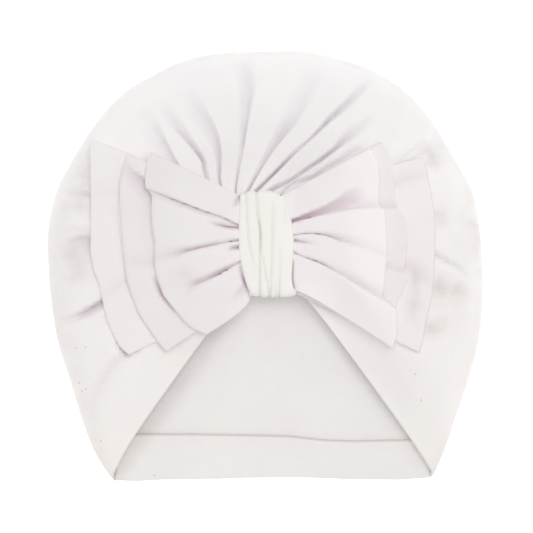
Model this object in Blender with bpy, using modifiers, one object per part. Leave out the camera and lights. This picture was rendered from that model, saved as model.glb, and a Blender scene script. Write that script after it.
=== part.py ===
"""An infant's bow headwrap of cotton jersey, lying on its back with the bow up.

The crown is one sewn cap: a flat back on the table, a puffed front gathered to the knot, and an
open front whose two slanting hems run from the knot down to the lower corners. Three flattened
loops of the same cloth are stacked as a bow and held by a pleated band.

X points to the wearer's left, Y to the top of the cap and Z up from the table. The origin is on
the table, in the middle of the cap. Tables hold millimetres and degrees; meshes hold metres.
"""

import math
from collections import namedtuple

import bmesh
import bpy
import numpy as np

MM = 0.001

# Cloth thicknesses
CROWN_CLOTH = 1.2
HEM_CLOTH = 2.1
BOW_CLOTH = 1.0
BAND_CLOTH = 1.3
CLEARANCE = 0.4

# Heights above the table
CREST_HEIGHT = 22.0
KNOT_HEIGHT = 11.5
CORNER_HEIGHT = 6.0

# The knot's seat, where the crown is pinched flat under the band
KNOT_X = 0.7
KNOT_Y = 9.4
SEAT_HALF_WIDTH = 12.5
SEAT_HALF_HEIGHT = 21.6
SEAT_SLOPE = 27.0

# The puffed edge of the crown, and the hem round its opening
EDGE_PUFF = 38.0
EDGE_TUCK_SHARE = 1.5
HEM_WIDTH = 20.0
HEM_Y = -98.2
HEM_STEP = 0.8
HEM_SLOPE_WIDTH = 30.0
HEM_SLOPE_START = 0.02
APEX_Y = -11.5
APEX_LEFT_X = -8.6
APEX_RIGHT_X = 15.4

RimPoint = namedtuple("RimPoint", "angle radius tuck_height")
RIM = (
    RimPoint(-51.4, 124.0, 3.4),
    RimPoint(-41.0, 114.2, 4.0),
    RimPoint(-25.0, 106.2, 5.2),
    RimPoint(-10.0, 101.8, 6.2),
    RimPoint(10.0, 100.2, 6.5),
    RimPoint(30.0, 100.0, 6.5),
    RimPoint(50.0, 102.8, 6.5),
    RimPoint(70.0, 101.0, 6.5),
    RimPoint(90.0, 98.6, 6.5),
    RimPoint(110.0, 101.2, 6.5),
    RimPoint(130.0, 102.8, 6.5),
    RimPoint(150.0, 101.3, 6.5),
    RimPoint(170.0, 101.6, 6.5),
    RimPoint(185.0, 100.2, 6.4),
    RimPoint(200.0, 102.1, 5.8),
    RimPoint(215.0, 107.0, 4.8),
    RimPoint(225.0, 114.5, 3.9),
    RimPoint(234.4, 121.3, 3.4),
)

# How a fold narrows towards the seat, how sharp its bottom is, and the shares of its length over
# which it rises out of the seat and fades out
FOLD_SEAT_WIDTH = 0.35
FOLD_SHARPNESS = 1.6
FOLD_RISE = 0.28
FOLD_FADE = 0.3

# Each row is a fold that runs from the knot to the rim. The cloth falls into it gently on the
# anticlockwise side, over `soft`, and steeply on the other, over `sharp`. `reach` is the share of
# the way to the rim where it has faded out, and `columns` the mesh columns up to the next row.
Fold = namedtuple("Fold", "rim_angle seat_x seat_y depth reach soft sharp columns")
FOLDS = (
    Fold(-51.4, APEX_RIGHT_X, APEX_Y, 0.0, 1.0, 9.0, 6.0, 2),
    Fold(-43.6, 14.6, -9.6, 0.0, 1.0, 9.0, 6.0, 1),
    Fold(-43.0, 14.5, -9.2, 0.0, 1.0, 9.0, 6.0, 2),
    Fold(-21.0, 13.2, -4.0, 1.2, 0.98, 9.0, 5.0, 2),
    Fold(-8.0, 13.2, 3.0, 2.4, 0.98, 9.0, 4.0, 1),
    Fold(-1.5, 13.2, 9.0, 1.5, 0.92, 5.0, 2.5, 2),
    Fold(14.0, 13.2, 17.0, 2.0, 0.97, 8.0, 4.0, 2),
    Fold(31.0, 13.0, 24.0, 3.0, 0.98, 9.0, 4.0, 2),
    Fold(42.0, 9.0, 31.0, 3.4, 0.90, 7.0, 2.5, 1),
    Fold(49.0, 4.0, 31.0, 4.0, 0.95, 8.0, 2.2, 2),
    Fold(57.4, -1.5, 31.0, 4.6, 0.98, 9.0, 2.2, 3),
    Fold(74.0, -6.8, 31.0, 4.2, 0.98, 13.0, 2.6, 3),
    Fold(92.4, -11.6, 31.0, 4.8, 0.98, 15.0, 2.4, 3),
    Fold(111.0, -12.0, 27.5, 4.4, 0.95, 12.0, 3.0, 2),
    Fold(121.6, -12.0, 23.5, 4.2, 0.95, 10.0, 3.0, 2),
    Fold(134.0, -12.0, 20.0, 2.6, 0.9, 9.0, 5.0, 2),
    Fold(152.0, -12.0, 17.0, 1.2, 0.95, 5.0, 4.0, 1),
    Fold(160.0, -12.0, 14.0, 1.6, 0.95, 6.0, 4.0, 2),
    Fold(171.5, -12.0, 10.5, 3.0, 0.96, 12.0, 3.0, 3),
    Fold(195.0, -11.6, 4.5, 2.6, 0.94, 8.0, 2.5, 3),
    Fold(222.8, -9.2, -8.4, 0.0, 1.0, 9.0, 6.0, 1),
    Fold(223.4, -9.1, -8.8, 0.0, 1.0, 9.0, 6.0, 2),
    Fold(234.4, APEX_LEFT_X, APEX_Y, 0.0, 1.0, 9.0, 6.0, 0),
)
LEFT_HEM_BEND = 5.5
RIGHT_HEM_BEND = 1.6
HEM_BEND_FADE = 35.0
FRONT_ROWS = (0.0, 0.06, 0.13, 0.21, 0.31, 0.43, 0.56, 0.69, 0.81, 0.91, 0.97, 1.0)
TUCK_ANGLES = (35.0, 65.0, 90.0)
STEEP_RADIUS = 90.0
BACK_SIDE_COLUMNS = 20
BACK_BULGE_START = 0.2

# Each row is a line of one wing of a bow layer, from the waist to the wing's end. `lift` raises
# or sinks the upper ply along it: the low rows are the pleats' valleys.
WingRow = namedtuple("WingRow", "waist_y end_x end_y lift")
FRONT_LEFT = (
    WingRow(-12.2, -27.4, -31.3, -0.4),
    WingRow(-8.0, -35.2, -26.8, 0.7),
    WingRow(-3.5, -41.6, -17.5, 0.4),
    WingRow(1.4, -48.3, -8.7, -2.2),
    WingRow(5.2, -50.2, -1.4, 0.9),
    WingRow(8.5, -50.3, 3.2, 0.5),
    WingRow(11.5, -50.8, 6.9, -1.8),
    WingRow(14.5, -51.5, 15.2, 0.7),
    WingRow(17.0, -51.8, 24.4, 0.2),
    WingRow(18.7, -50.8, 32.4, -2.4),
    WingRow(20.9, -54.0, 36.1, 1.2),
    WingRow(25.0, -54.4, 41.8, 1.0),
    WingRow(28.6, -53.8, 47.4, 0.4),
    WingRow(31.4, -53.1, 50.6, -0.4),
)
FRONT_RIGHT = (
    WingRow(-12.2, 59.1, -39.1, -0.4),
    WingRow(-8.0, 59.3, -29.9, 0.6),
    WingRow(-1.5, 59.1, -19.8, 1.0),
    WingRow(4.6, 53.4, -14.3, -2.2),
    WingRow(7.2, 54.4, -3.6, 0.9),
    WingRow(9.6, 54.7, 0.6, 0.5),
    WingRow(12.9, 54.8, 4.6, -1.8),
    WingRow(15.2, 55.0, 12.4, 0.7),
    WingRow(17.4, 54.6, 22.1, 0.2),
    WingRow(19.0, 53.2, 25.2, -2.4),
    WingRow(21.2, 51.5, 29.2, 1.2),
    WingRow(25.0, 51.7, 39.6, 1.1),
    WingRow(28.8, 51.0, 47.6, 0.5),
    WingRow(31.4, 48.0, 52.9, -0.4),
)
MIDDLE_LEFT = (
    WingRow(-12.2, -44.9, -39.1, 0.0),
    WingRow(-9.0, -50.5, -32.0, 0.2),
    WingRow(-6.0, -56.0, -24.4, 0.4),
    WingRow(1.0, -63.0, -7.0, -0.5),
    WingRow(8.5, -65.1, 12.4, 0.5),
    WingRow(12.4, -65.9, 21.6, 0.2),
    WingRow(16.6, -66.4, 31.0, -0.4),
    WingRow(23.5, -66.0, 41.0, 0.5),
    WingRow(28.8, -64.8, 47.4, 0.3),
    WingRow(31.4, -63.7, 51.5, 0.0),
)
MIDDLE_RIGHT = (
    WingRow(-12.2, 56.8, -35.4, 0.0),
    WingRow(-9.0, 59.8, -23.5, 0.2),
    WingRow(-6.0, 62.6, -12.0, 0.4),
    WingRow(1.0, 63.3, -1.0, -0.5),
    WingRow(8.5, 65.0, 14.4, 0.5),
    WingRow(13.0, 62.6, 22.6, 0.2),
    WingRow(17.0, 59.4, 28.0, -0.6),
    WingRow(23.5, 57.9, 40.6, 0.5),
    WingRow(28.8, 56.7, 50.6, 0.3),
    WingRow(31.4, 53.2, 56.5, 0.0),
)
BACK_LEFT = (
    WingRow(-12.2, -62.8, -40.5, 0.0),
    WingRow(-6.0, -70.0, -28.0, 0.4),
    WingRow(1.0, -75.6, -10.0, -0.4),
    WingRow(8.5, -79.4, 8.5, 0.4),
    WingRow(16.0, -79.8, 27.6, -0.3),
    WingRow(23.5, -79.9, 44.0, 0.3),
    WingRow(31.4, -79.4, 56.6, 0.0),
)
BACK_RIGHT = (
    WingRow(-12.2, 71.1, -40.0, 0.0),
    WingRow(-6.0, 73.3, -28.0, -0.3),
    WingRow(1.0, 76.3, -11.5, -0.4),
    WingRow(8.5, 77.4, 8.0, 0.4),
    WingRow(16.0, 76.9, 27.0, -0.3),
    WingRow(23.5, 74.4, 38.5, 0.3),
    WingRow(31.4, 72.0, 49.6, 0.0),
)

# Heights of the plies' middles over the bow's bed, at the waist and out on the wings
PlyPair = namedtuple("PlyPair", "waist_low waist_high wing_low wing_high")
BACK_PLIES = PlyPair(0.9, 2.3, 2.2, 4.4)
MIDDLE_PLIES = PlyPair(3.7, 5.1, 6.8, 9.1)
FRONT_PLIES = PlyPair(6.7, 9.8, 11.2, 15.7)
WAIST_HALF_WIDTH = 12.6
SPREAD_RUN = 40.0
BED_EDGE = 9.0
WAIST_LIFT_SHARE = 0.4
LIFT_RUN = 0.3
FOLD_NOSE_SHARE = 0.4
FOLD_PUFF = 7.0
FOLD_TUCK = 3.0
UPPER_SHARES = (0.0, 0.1, 0.22, 0.37, 0.54, 0.72, 0.86, 0.95, 0.985)
LOWER_SHARES = (0.965, 0.87, 0.72, 0.55, 0.38, 0.22, 0.1, 0.0)

# The front loop's highest lift, and how far the band stands off the bow and off the crown's back
HIGHEST_LIFT = 1.2
BAND_OFF_BOW = 0.4
BAND_OFF_CROWN = 0.6

# Each row is a cross-line of the band, from its tucked upper end over the bow, round the crown's
# hem and up behind it. `pleat` is the height of its pleats there.
BandRow = namedtuple("BandRow", "y z left_x right_x pleat")
BOW_TOP = KNOT_HEIGHT + FRONT_PLIES.waist_high + HIGHEST_LIFT * WAIST_LIFT_SHARE + BOW_CLOTH / 2
BAND_TOP = BOW_TOP + CLEARANCE + BAND_CLOTH / 2 + BAND_OFF_BOW
BAND_BACK = KNOT_HEIGHT - CROWN_CLOTH - CLEARANCE - BAND_CLOTH / 2 - BAND_OFF_CROWN
BAND = (
    BandRow(33.2, KNOT_HEIGHT + 1.4, -10.4, 7.4, 0.0),
    BandRow(33.3, KNOT_HEIGHT + 6.0, -10.8, 8.0, 0.2),
    BandRow(33.2, BAND_TOP - 2.6, -11.3, 8.6, 0.5),
    BandRow(31.2, BAND_TOP - 0.3, -11.5, 9.4, 0.8),
    BandRow(26.0, BAND_TOP + 0.2, -11.7, 11.4, 0.8),
    BandRow(18.0, BAND_TOP + 0.5, -12.0, 12.6, 0.8),
    BandRow(8.0, BAND_TOP + 0.5, -12.0, 13.2, 0.8),
    BandRow(-1.0, BAND_TOP + 0.3, -11.2, 12.9, 0.8),
    BandRow(-8.0, BAND_TOP + 0.1, -9.6, 12.8, 0.8),
    BandRow(-12.2, BAND_TOP - 0.3, -8.2, 13.2, 0.7),
    BandRow(-14.2, BAND_TOP - 2.6, -7.6, 13.4, 0.5),
    BandRow(-14.2, KNOT_HEIGHT + 2.5, -6.6, 13.0, 0.2),
    BandRow(-13.6, KNOT_HEIGHT - 1.0, -6.4, 12.6, 0.0),
    BandRow(-10.0, BAND_BACK, -6.6, 11.8, 0.0),
    BandRow(0.0, BAND_BACK, -8.0, 11.0, 0.0),
    BandRow(13.0, BAND_BACK, -9.0, 10.2, 0.0),
    BandRow(25.0, BAND_BACK, -9.0, 10.0, 0.0),
)
BAND_STEPS = 2
BAND_PLEATS = 5
BAND_COLUMNS_PER_PLEAT = 3
BAND_PLEAT_BASE = 0.5
BAND_BULGE = 0.9
BAND_BULGE_BASE = 0.4

LILAC_WHITE = (0.86, 0.82, 0.85, 1.0)
SOFT_WHITE = (0.89, 0.87, 0.86, 1.0)
IVORY_WHITE = (0.90, 0.90, 0.84, 1.0)


def hermite(knots, values, at):
    """A smooth curve through the values at the knots, read at the given places."""
    knots = np.asarray(knots, float)
    values = np.asarray(values, float)
    at = np.clip(at, knots[0], knots[-1])
    slopes = np.gradient(values, knots)
    i = np.clip(np.searchsorted(knots, at, side="right") - 1, 0, len(knots) - 2)
    span = knots[i + 1] - knots[i]
    t = (at - knots[i]) / span
    start = (1 + 2 * t) * (1 - t) ** 2 * values[i] + t * (1 - t) ** 2 * span * slopes[i]
    end = t**2 * (3 - 2 * t) * values[i + 1] + t**2 * (t - 1) * span * slopes[i + 1]
    return start + end


def ease(t):
    """0 to 1, level at both ends."""
    t = np.clip(t, 0.0, 1.0)
    return t * t * (3 - 2 * t)


def quarter_round(t):
    """The height share of a round edge, at a share t of its width in from the side."""
    return np.sqrt(1 - (1 - np.clip(t, 0.0, 1.0)) ** 2)


def rim_radius(angle):
    return hermite([p.angle for p in RIM], [p.radius for p in RIM], angle)


def tuck_height(angle):
    return hermite([p.angle for p in RIM], [p.tuck_height for p in RIM], angle)


def rim_point(angle):
    turn = np.radians(angle)
    return rim_radius(angle) * np.cos(turn), rim_radius(angle) * np.sin(turn)


RIGHT_CORNER = rim_point(RIM[0].angle)
LEFT_CORNER = rim_point(RIM[-1].angle)


def distance_to_segment(x, y, start, end):
    """How far points are from a straight edge, and the share of its length they lie along it."""
    dx, dy = end[0] - start[0], end[1] - start[1]
    share = np.clip(((x - start[0]) * dx + (y - start[1]) * dy) / (dx**2 + dy**2), 0, 1)
    return np.hypot(x - start[0] - share * dx, y - start[1] - share * dy), share


def hem_slope(x, y):
    """How far points are above the slanting hems, and the height of the nearest place on them."""
    right, right_share = distance_to_segment(x, y, (APEX_RIGHT_X, APEX_Y), RIGHT_CORNER)
    left, left_share = distance_to_segment(x, y, (APEX_LEFT_X, APEX_Y), LEFT_CORNER)
    apex, _ = distance_to_segment(x, y, (APEX_LEFT_X, APEX_Y), (APEX_RIGHT_X, APEX_Y))
    share = np.where(right < left, right_share, left_share)
    edge_y = np.interp(
        x,
        (LEFT_CORNER[0], APEX_LEFT_X, APEX_RIGHT_X, RIGHT_CORNER[0]),
        (LEFT_CORNER[1], APEX_Y, APEX_Y, RIGHT_CORNER[1]),
    )
    away = np.where(y >= edge_y, np.minimum(np.minimum(left, right), apex), 0.0)
    return away, KNOT_HEIGHT + (CORNER_HEIGHT - KNOT_HEIGHT) * share


def plain_front(x, y, least_inset=0.0):
    """The front's height before its folds. A least inset keeps it from rounding off at the rim."""
    angle = (np.degrees(np.arctan2(y, x)) + 90) % 360 - 90
    inset = rim_radius(angle) - np.hypot(x, y)
    inset = np.hypot(np.maximum(inset, 0.0), least_inset)
    low = tuck_height(angle)
    z = low + (CREST_HEIGHT - low) * quarter_round(inset / EDGE_PUFF)
    off_x = np.maximum(np.abs(x - KNOT_X) - SEAT_HALF_WIDTH, 0)
    off_y = np.maximum(np.abs(y - KNOT_Y) - SEAT_HALF_HEIGHT, 0)
    pinch = np.exp(-(off_x**2 + off_y**2) / SEAT_SLOPE**2)
    z = z + (KNOT_HEIGHT - z) * pinch
    away, hem_height = hem_slope(x, y)
    return np.minimum(z, hem_height + (z - hem_height) * ease(away / HEM_SLOPE_WIDTH + HEM_SLOPE_START))


def fold_depth(x, y, fold):
    """How deep one fold is at each point: sharp at its bottom, and fading to its ends."""
    rim_x, rim_y = rim_point(fold.rim_angle)
    dx, dy = rim_x - fold.seat_x, rim_y - fold.seat_y
    length = math.hypot(dx, dy)
    along = ((x - fold.seat_x) * dx + (y - fold.seat_y) * dy) / length**2
    across = ((y - fold.seat_y) * dx - (x - fold.seat_x) * dy) / length
    spread = FOLD_SEAT_WIDTH + (1 - FOLD_SEAT_WIDTH) * np.clip(along, 0, 1)
    width = np.where(across > 0, fold.soft, fold.sharp) * spread
    profile = np.clip(1 - np.abs(across) / width, 0, 1) ** FOLD_SHARPNESS
    fade = ease(along / FOLD_RISE) * (1 - ease((along - fold.reach) / FOLD_FADE + 1))
    return fold.depth * profile * fade


def front_height(x, y):
    """The height of the front's outer face, folds and all."""
    z = plain_front(x, y)
    return z - sum(fold_depth(x, y, fold) for fold in FOLDS if fold.depth)


def crown_columns():
    """Rim angle and seat place of each mesh column, from the right hem round to the left one.
    The last column before a fold runs along the top of its steep side."""
    rows = []
    for fold, following in zip(FOLDS, FOLDS[1:]):
        shares = [step / fold.columns for step in range(fold.columns)]
        if following.depth:
            gap = math.radians(following.rim_angle - fold.rim_angle)
            steep = following.sharp / (STEEP_RADIUS * gap)
            shares = [share * (1 - steep) for share in shares] + [1 - steep]
        for share in shares:
            rows.append(
                [
                    fold.rim_angle + share * (following.rim_angle - fold.rim_angle),
                    fold.seat_x + share * (following.seat_x - fold.seat_x),
                    fold.seat_y + share * (following.seat_y - fold.seat_y),
                ]
            )
    last = FOLDS[-1]
    rows.append([last.rim_angle, last.seat_x, last.seat_y])
    return np.array(rows)


def inward(x, y):
    """Unit directions from the rim towards the cap's middle line, level below the middle."""
    toward = np.stack([-x, -np.maximum(y, 0.0)], axis=-1)
    return toward / np.linalg.norm(toward, axis=-1, keepdims=True)


def front_grid(columns):
    """Points of the front, in rows from the knot's seat to the rim."""
    rim_x, rim_y = rim_point(columns[:, 0])
    right_share = np.clip(1 - (columns[:, 0] - RIM[0].angle) / HEM_BEND_FADE, 0, 1) ** 2
    left_share = np.clip(1 - (RIM[-1].angle - columns[:, 0]) / HEM_BEND_FADE, 0, 1) ** 2
    bend = RIGHT_HEM_BEND * right_share - LEFT_HEM_BEND * left_share
    rows = []
    for share in FRONT_ROWS:
        x = columns[:, 1] + share * (rim_x - columns[:, 1]) + bend * 4 * share * (1 - share)
        y = columns[:, 2] + share * (rim_y - columns[:, 2])
        rows.append(np.stack([x, y, front_height(x, y)], axis=-1))
    return rows


def tuck_grid(columns):
    """Points of the rim's rounding from its widest line down to the table."""
    x, y = rim_point(columns[:, 0])
    high = tuck_height(columns[:, 0])
    toward = inward(x, y)
    rows = []
    for angle in TUCK_ANGLES:
        turn = math.radians(angle)
        step = EDGE_TUCK_SHARE * high * (1 - math.cos(turn))
        z = high * (1 - math.sin(turn))
        rows.append(np.column_stack([x + step * toward[:, 0], y + step * toward[:, 1], z]))
    return rows


def back_grid(contact):
    """Points of the flat back inside the line where the rim meets the table, in rows up from the
    hem. The last row is the upper part of that line."""
    sides = BACK_SIDE_COLUMNS
    top = contact[sides : len(contact) - sides]
    across = np.linspace(0, 1, len(top))[:, None]
    bulge = top - (top[0] + across * (top[-1] - top[0]))
    grid = []
    for row in range(sides + 1):
        right, left = contact[row], contact[len(contact) - 1 - row]
        height = (right[1] - contact[0][1]) / (top[0][1] - contact[0][1])
        risen = ease((height - BACK_BULGE_START) / (1 - BACK_BULGE_START))
        grid.append(right + across * (left - right) + bulge * risen)
    return grid


def add_rows(mesh, rows):
    """Vertices for rows of points in millimetres."""
    return [[mesh.verts.new(np.asarray(p) * MM) for p in row] for row in rows]


def add_faces(mesh, rows, wrap=False):
    """Four-sided faces between neighbouring rows of vertices."""
    for low, high in zip(rows, rows[1:]):
        last = len(low) if wrap else len(low) - 1
        for i in range(last):
            j = (i + 1) % len(low)
            mesh.faces.new((low[i], high[i], high[j], low[j]))


def new_object(name, mesh, collection, material):
    """An object for a finished mesh, shaded smooth and in its collection."""
    data = bpy.data.meshes.new(name)
    mesh.to_mesh(data)
    mesh.free()
    data.shade_smooth()
    data.materials.append(material)
    result = bpy.data.objects.new(name, data)
    collection.objects.link(result)
    return result


def add_cloth(target, thickness, offset, even=False):
    """The wall of a piece, grown from its open surface."""
    wall = target.modifiers.new("cloth", "SOLIDIFY")
    wall.thickness = thickness * MM
    wall.offset = offset
    wall.use_even_offset = even
    wall.use_quality_normals = True
    return wall


def make_crown(collection, material):
    """The cap: puffed front, rounded rim and flat back, thicker at the turned hem."""
    columns = crown_columns()
    front = front_grid(columns)
    tuck = tuck_grid(columns)
    back = back_grid(tuck[-1])
    mesh = bmesh.new()
    rows = add_rows(mesh, front + tuck)
    contact = rows[-1]
    sides = BACK_SIDE_COLUMNS
    back_rows = []
    for number, points in enumerate(back[:-1]):
        inner = [mesh.verts.new(p * MM) for p in points[1:-1]]
        back_rows.append([contact[number], *inner, contact[len(contact) - 1 - number]])
    back_rows.append(contact[sides : len(contact) - sides])
    add_faces(mesh, rows)
    add_faces(mesh, back_rows)
    mesh.faces.new(rows[0])
    bmesh.ops.recalc_face_normals(mesh, faces=mesh.faces)
    mesh.normal_update()
    if max(mesh.verts, key=lambda v: v.co.z).normal.z < 0:
        bmesh.ops.reverse_faces(mesh, faces=mesh.faces)
    crown = new_object("crown", mesh, collection, material)

    hem = crown.vertex_groups.new(name="hem")
    plain_share = CROWN_CLOTH / HEM_CLOTH
    for vertex in crown.data.vertices:
        x, y, z = np.array(vertex.co) / MM
        on_back = z < HEM_STEP / 2 and y < HEM_Y + HEM_WIDTH + HEM_STEP / 2
        hem.add([vertex.index], 1.0 if on_back else plain_share, "REPLACE")
    wall = add_cloth(crown, HEM_CLOTH, -1.0, even=True)
    wall.vertex_group = hem.name
    return crown


def ply_height(x, y, waist, wing):
    """A ply's height: the bow's bed, and its own height over it at the waist and on the wings."""
    out = np.clip((np.abs(x - KNOT_X) - WAIST_HALF_WIDTH) / SPREAD_RUN, 0, 1)
    return plain_front(x, y, BED_EDGE) + waist + (1 - (1 - out) ** 2) * (wing - waist)


def wing_rows(side, table, plies):
    """Points of one wing, from the waist out along the upper ply, round the fold and back."""
    waist_y, end_x, end_y, lift = np.array(table, float).T
    waist_x = KNOT_X + side * WAIST_HALF_WIDTH
    length = np.hypot(end_x - waist_x, end_y - waist_y)
    rows = []
    for upper, shares in ((True, UPPER_SHARES), (None, (1.0,)), (False, LOWER_SHARES)):
        for share in shares:
            x = waist_x + share * (end_x - waist_x)
            y = waist_y + share * (end_y - waist_y)
            low = ply_height(x, y, plies.waist_low, plies.wing_low)
            high = ply_height(x, y, plies.waist_high, plies.wing_high)
            risen = WAIST_LIFT_SHARE + (1 - WAIST_LIFT_SHARE) * ease(share / LIFT_RUN)
            high = high + lift * risen
            nose = low + FOLD_NOSE_SHARE * (high - low)
            inset = (1 - share) * length
            if upper is None:
                z = nose
            elif upper:
                z = nose + (high - nose) * quarter_round(inset / FOLD_PUFF)
            else:
                z = nose - (nose - low) * quarter_round(inset / FOLD_TUCK)
            rows.append(np.stack([x, y, z], axis=-1))
    return rows


def make_bow_layer(name, left_table, right_table, plies, collection, material):
    """One flattened loop of cloth, pinched at the waist."""
    left = wing_rows(-1, left_table, plies)
    right = wing_rows(1, right_table, plies)
    ring = np.array(left + right[::-1])
    mesh = bmesh.new()
    add_faces(mesh, add_rows(mesh, ring.transpose(1, 0, 2)), wrap=True)
    bmesh.ops.recalc_face_normals(mesh, faces=mesh.faces)
    mesh.normal_update()
    if max(mesh.verts, key=lambda v: v.co.z).normal.z < 0:
        bmesh.ops.reverse_faces(mesh, faces=mesh.faces)
    layer = new_object(name, mesh, collection, material)
    add_cloth(layer, BOW_CLOTH, 0.0)
    return layer


def make_band(collection, material):
    """The pleated strip that binds the bow's waist and hooks under the crown's hem."""
    numbers = np.array(BAND, float)
    knots = np.arange(len(BAND))
    at = np.linspace(0, len(BAND) - 1, (len(BAND) - 1) * BAND_STEPS + 1)
    y, z, left, right, pleat = (hermite(knots, numbers[:, i], at) for i in range(5))
    along = np.stack([np.gradient(y), np.gradient(z)])
    along = along / np.linalg.norm(along, axis=0)
    mesh = bmesh.new()
    count = BAND_PLEATS * BAND_COLUMNS_PER_PLEAT
    rows = []
    for column in range(count + 1):
        share = column / count
        wave = abs(math.sin(math.pi * share * BAND_PLEATS)) - BAND_PLEAT_BASE
        bulge = BAND_BULGE * (4 * share * (1 - share) - BAND_BULGE_BASE)
        x = left + share * (right - left)
        out = pleat * (wave + bulge)
        rows.append(np.stack([x, y + out * along[1], z - out * along[0]], axis=-1))
    add_faces(mesh, add_rows(mesh, rows))
    bmesh.ops.recalc_face_normals(mesh, faces=mesh.faces)
    band = new_object("knot_band", mesh, collection, material)
    add_cloth(band, BAND_CLOTH, 0.0)
    return band


def make_material(name, colour, roughness):
    material = bpy.data.materials.new(name)
    material.use_nodes = True
    shader = material.node_tree.nodes["Principled BSDF"]
    shader.inputs["Base Color"].default_value = colour
    shader.inputs["Roughness"].default_value = roughness
    shader.inputs["Metallic"].default_value = 0.0
    return material


def main():
    for old in list(bpy.data.objects):
        bpy.data.objects.remove(old)
    collection = bpy.data.collections.new("bow_headwrap")
    bpy.context.scene.collection.children.link(collection)
    crown_jersey = make_material("crown_jersey", SOFT_WHITE, 0.95)
    bow_jersey = make_material("bow_jersey", LILAC_WHITE, 0.95)
    band_jersey = make_material("band_jersey", IVORY_WHITE, 0.85)
    make_crown(collection, crown_jersey)
    layers = (
        ("bow_back_layer", BACK_LEFT, BACK_RIGHT, BACK_PLIES),
        ("bow_middle_layer", MIDDLE_LEFT, MIDDLE_RIGHT, MIDDLE_PLIES),
        ("bow_front_layer", FRONT_LEFT, FRONT_RIGHT, FRONT_PLIES),
    )
    for name, left, right, plies in layers:
        make_bow_layer(name, left, right, plies, collection, bow_jersey)
    make_band(collection, band_jersey)


main()
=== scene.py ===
"""The looks of an infant's jersey bow headwrap that lies on its back under soft studio light.

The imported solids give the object's place and size. Each cloth piece here is a grid surface worked
out with numpy, given a wall by Solidify, that stands for one solid: the cap with its gathers and
turned hem, the three flattened loops of the bow, and the pleated band that binds them.

Forms are worked out in millimetres, with X to the right of the photograph, Y to the top of the cap
and Z up from the table. Places that were read off the photograph stay in its pixels, and PhotoFrame
turns them into millimetres.
"""

import logging
import math
from dataclasses import dataclass, replace
from enum import Enum
from typing import NamedTuple, Sequence

import bmesh
import bpy
import numpy as np
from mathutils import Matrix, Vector

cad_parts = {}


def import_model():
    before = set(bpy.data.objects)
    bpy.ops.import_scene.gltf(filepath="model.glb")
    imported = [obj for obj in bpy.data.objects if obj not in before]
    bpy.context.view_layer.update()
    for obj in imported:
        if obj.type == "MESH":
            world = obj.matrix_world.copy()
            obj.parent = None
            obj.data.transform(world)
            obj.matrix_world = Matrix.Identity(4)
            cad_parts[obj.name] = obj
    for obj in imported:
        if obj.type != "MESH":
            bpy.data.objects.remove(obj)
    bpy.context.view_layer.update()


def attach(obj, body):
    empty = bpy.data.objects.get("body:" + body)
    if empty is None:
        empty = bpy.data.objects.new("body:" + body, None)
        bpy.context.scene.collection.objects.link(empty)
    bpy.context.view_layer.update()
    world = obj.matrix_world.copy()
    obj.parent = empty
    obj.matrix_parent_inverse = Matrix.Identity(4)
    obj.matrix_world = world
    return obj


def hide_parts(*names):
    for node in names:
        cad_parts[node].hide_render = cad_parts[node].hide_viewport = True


log = logging.getLogger("bow_headwrap")

MM = 0.001
# Mesh attributes that carry painted shade: darkening painted into folds, and softer darkening painted into
# hollows, along rims and inside the cap. A fold depth of DEEPEST_FOLD mm gives the full painted shade.
FOLD_SHADE_ATTRIBUTE = "fold"
SOFT_SHADE_ATTRIBUTE = "soft_shade"
DEEPEST_FOLD = 14.0
Array = np.ndarray
Table = Sequence[Sequence[float]]
Colour = tuple[float, float, float]
Socket = bpy.types.NodeSocket
Piece = bpy.types.Object


class Side(Enum):
    """Which way a wing of the bow points from the knot, as the photograph shows it."""

    LEFT = -1.0
    RIGHT = 1.0


# Reading the photograph


@dataclass(frozen=True)
class PhotoFrame:
    """How a pixel of the photograph lies on the object, looking straight down.

    Attributes:
        width: Pixels across the square photograph.
        middle_x: Pixel column over the object's origin.
        middle_y: Pixel row over the object's origin.
        pixel_mm: Millimetres a pixel.
    """

    width: int = 533
    middle_x: float = 265.5
    middle_y: float = 265.0
    pixel_mm: float = 0.46

    def across(self, column: Array | float) -> Array | float:
        """Millimetres along X of a pixel column."""
        return (column - self.middle_x) * self.pixel_mm

    def up(self, row: Array | float) -> Array | float:
        """Millimetres along Y of a pixel row."""
        return (self.middle_y - row) * self.pixel_mm

    def place(self, pixels: Table) -> Array:
        """Rows that start with a pixel column and row, with those two turned into millimetres."""
        rows = np.array(pixels, float)
        rows[:, 0], rows[:, 1] = self.across(rows[:, 0]), self.up(rows[:, 1])
        return rows


PHOTO = PhotoFrame()


# Curves and profiles


def hermite(knots: Sequence[float], values: Sequence[float], at: Array) -> Array:
    """Reads a smooth curve that passes the values at knots.

    Between two knots the curve is the cubic that has the values' own mean slopes at both.

    Args:
        knots: Rising places.
        values: The curve's value at each.
        at: Where to read it, held inside the knots.

    Returns:
        The values there.
    """
    places = np.asarray(knots, float)
    heights = np.asarray(values, float)
    inside = np.clip(at, places[0], places[-1])
    slopes = np.gradient(heights, places)
    i = np.clip(np.searchsorted(places, inside, side="right") - 1, 0, len(places) - 2)
    span = places[i + 1] - places[i]
    t = (inside - places[i]) / span
    start = (1 + 2 * t) * (1 - t) ** 2 * heights[i] + t * (1 - t) ** 2 * span * slopes[i]
    end = t**2 * (3 - 2 * t) * heights[i + 1] + t**2 * (t - 1) * span * slopes[i + 1]
    return start + end


def read_table(rows: Table, at: Array) -> Array:
    """The later columns of a table at places along its first, by straight lines between its rows."""
    table = np.array(rows, float)
    return np.stack([np.interp(at, table[:, 0], column) for column in table[:, 1:].T])


def ease(t: Array) -> Array:
    """3tt - 2ttt: 0 to 1, level at both ends."""
    held = np.clip(t, 0.0, 1.0)
    return held * held * (3 - 2 * held)


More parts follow.
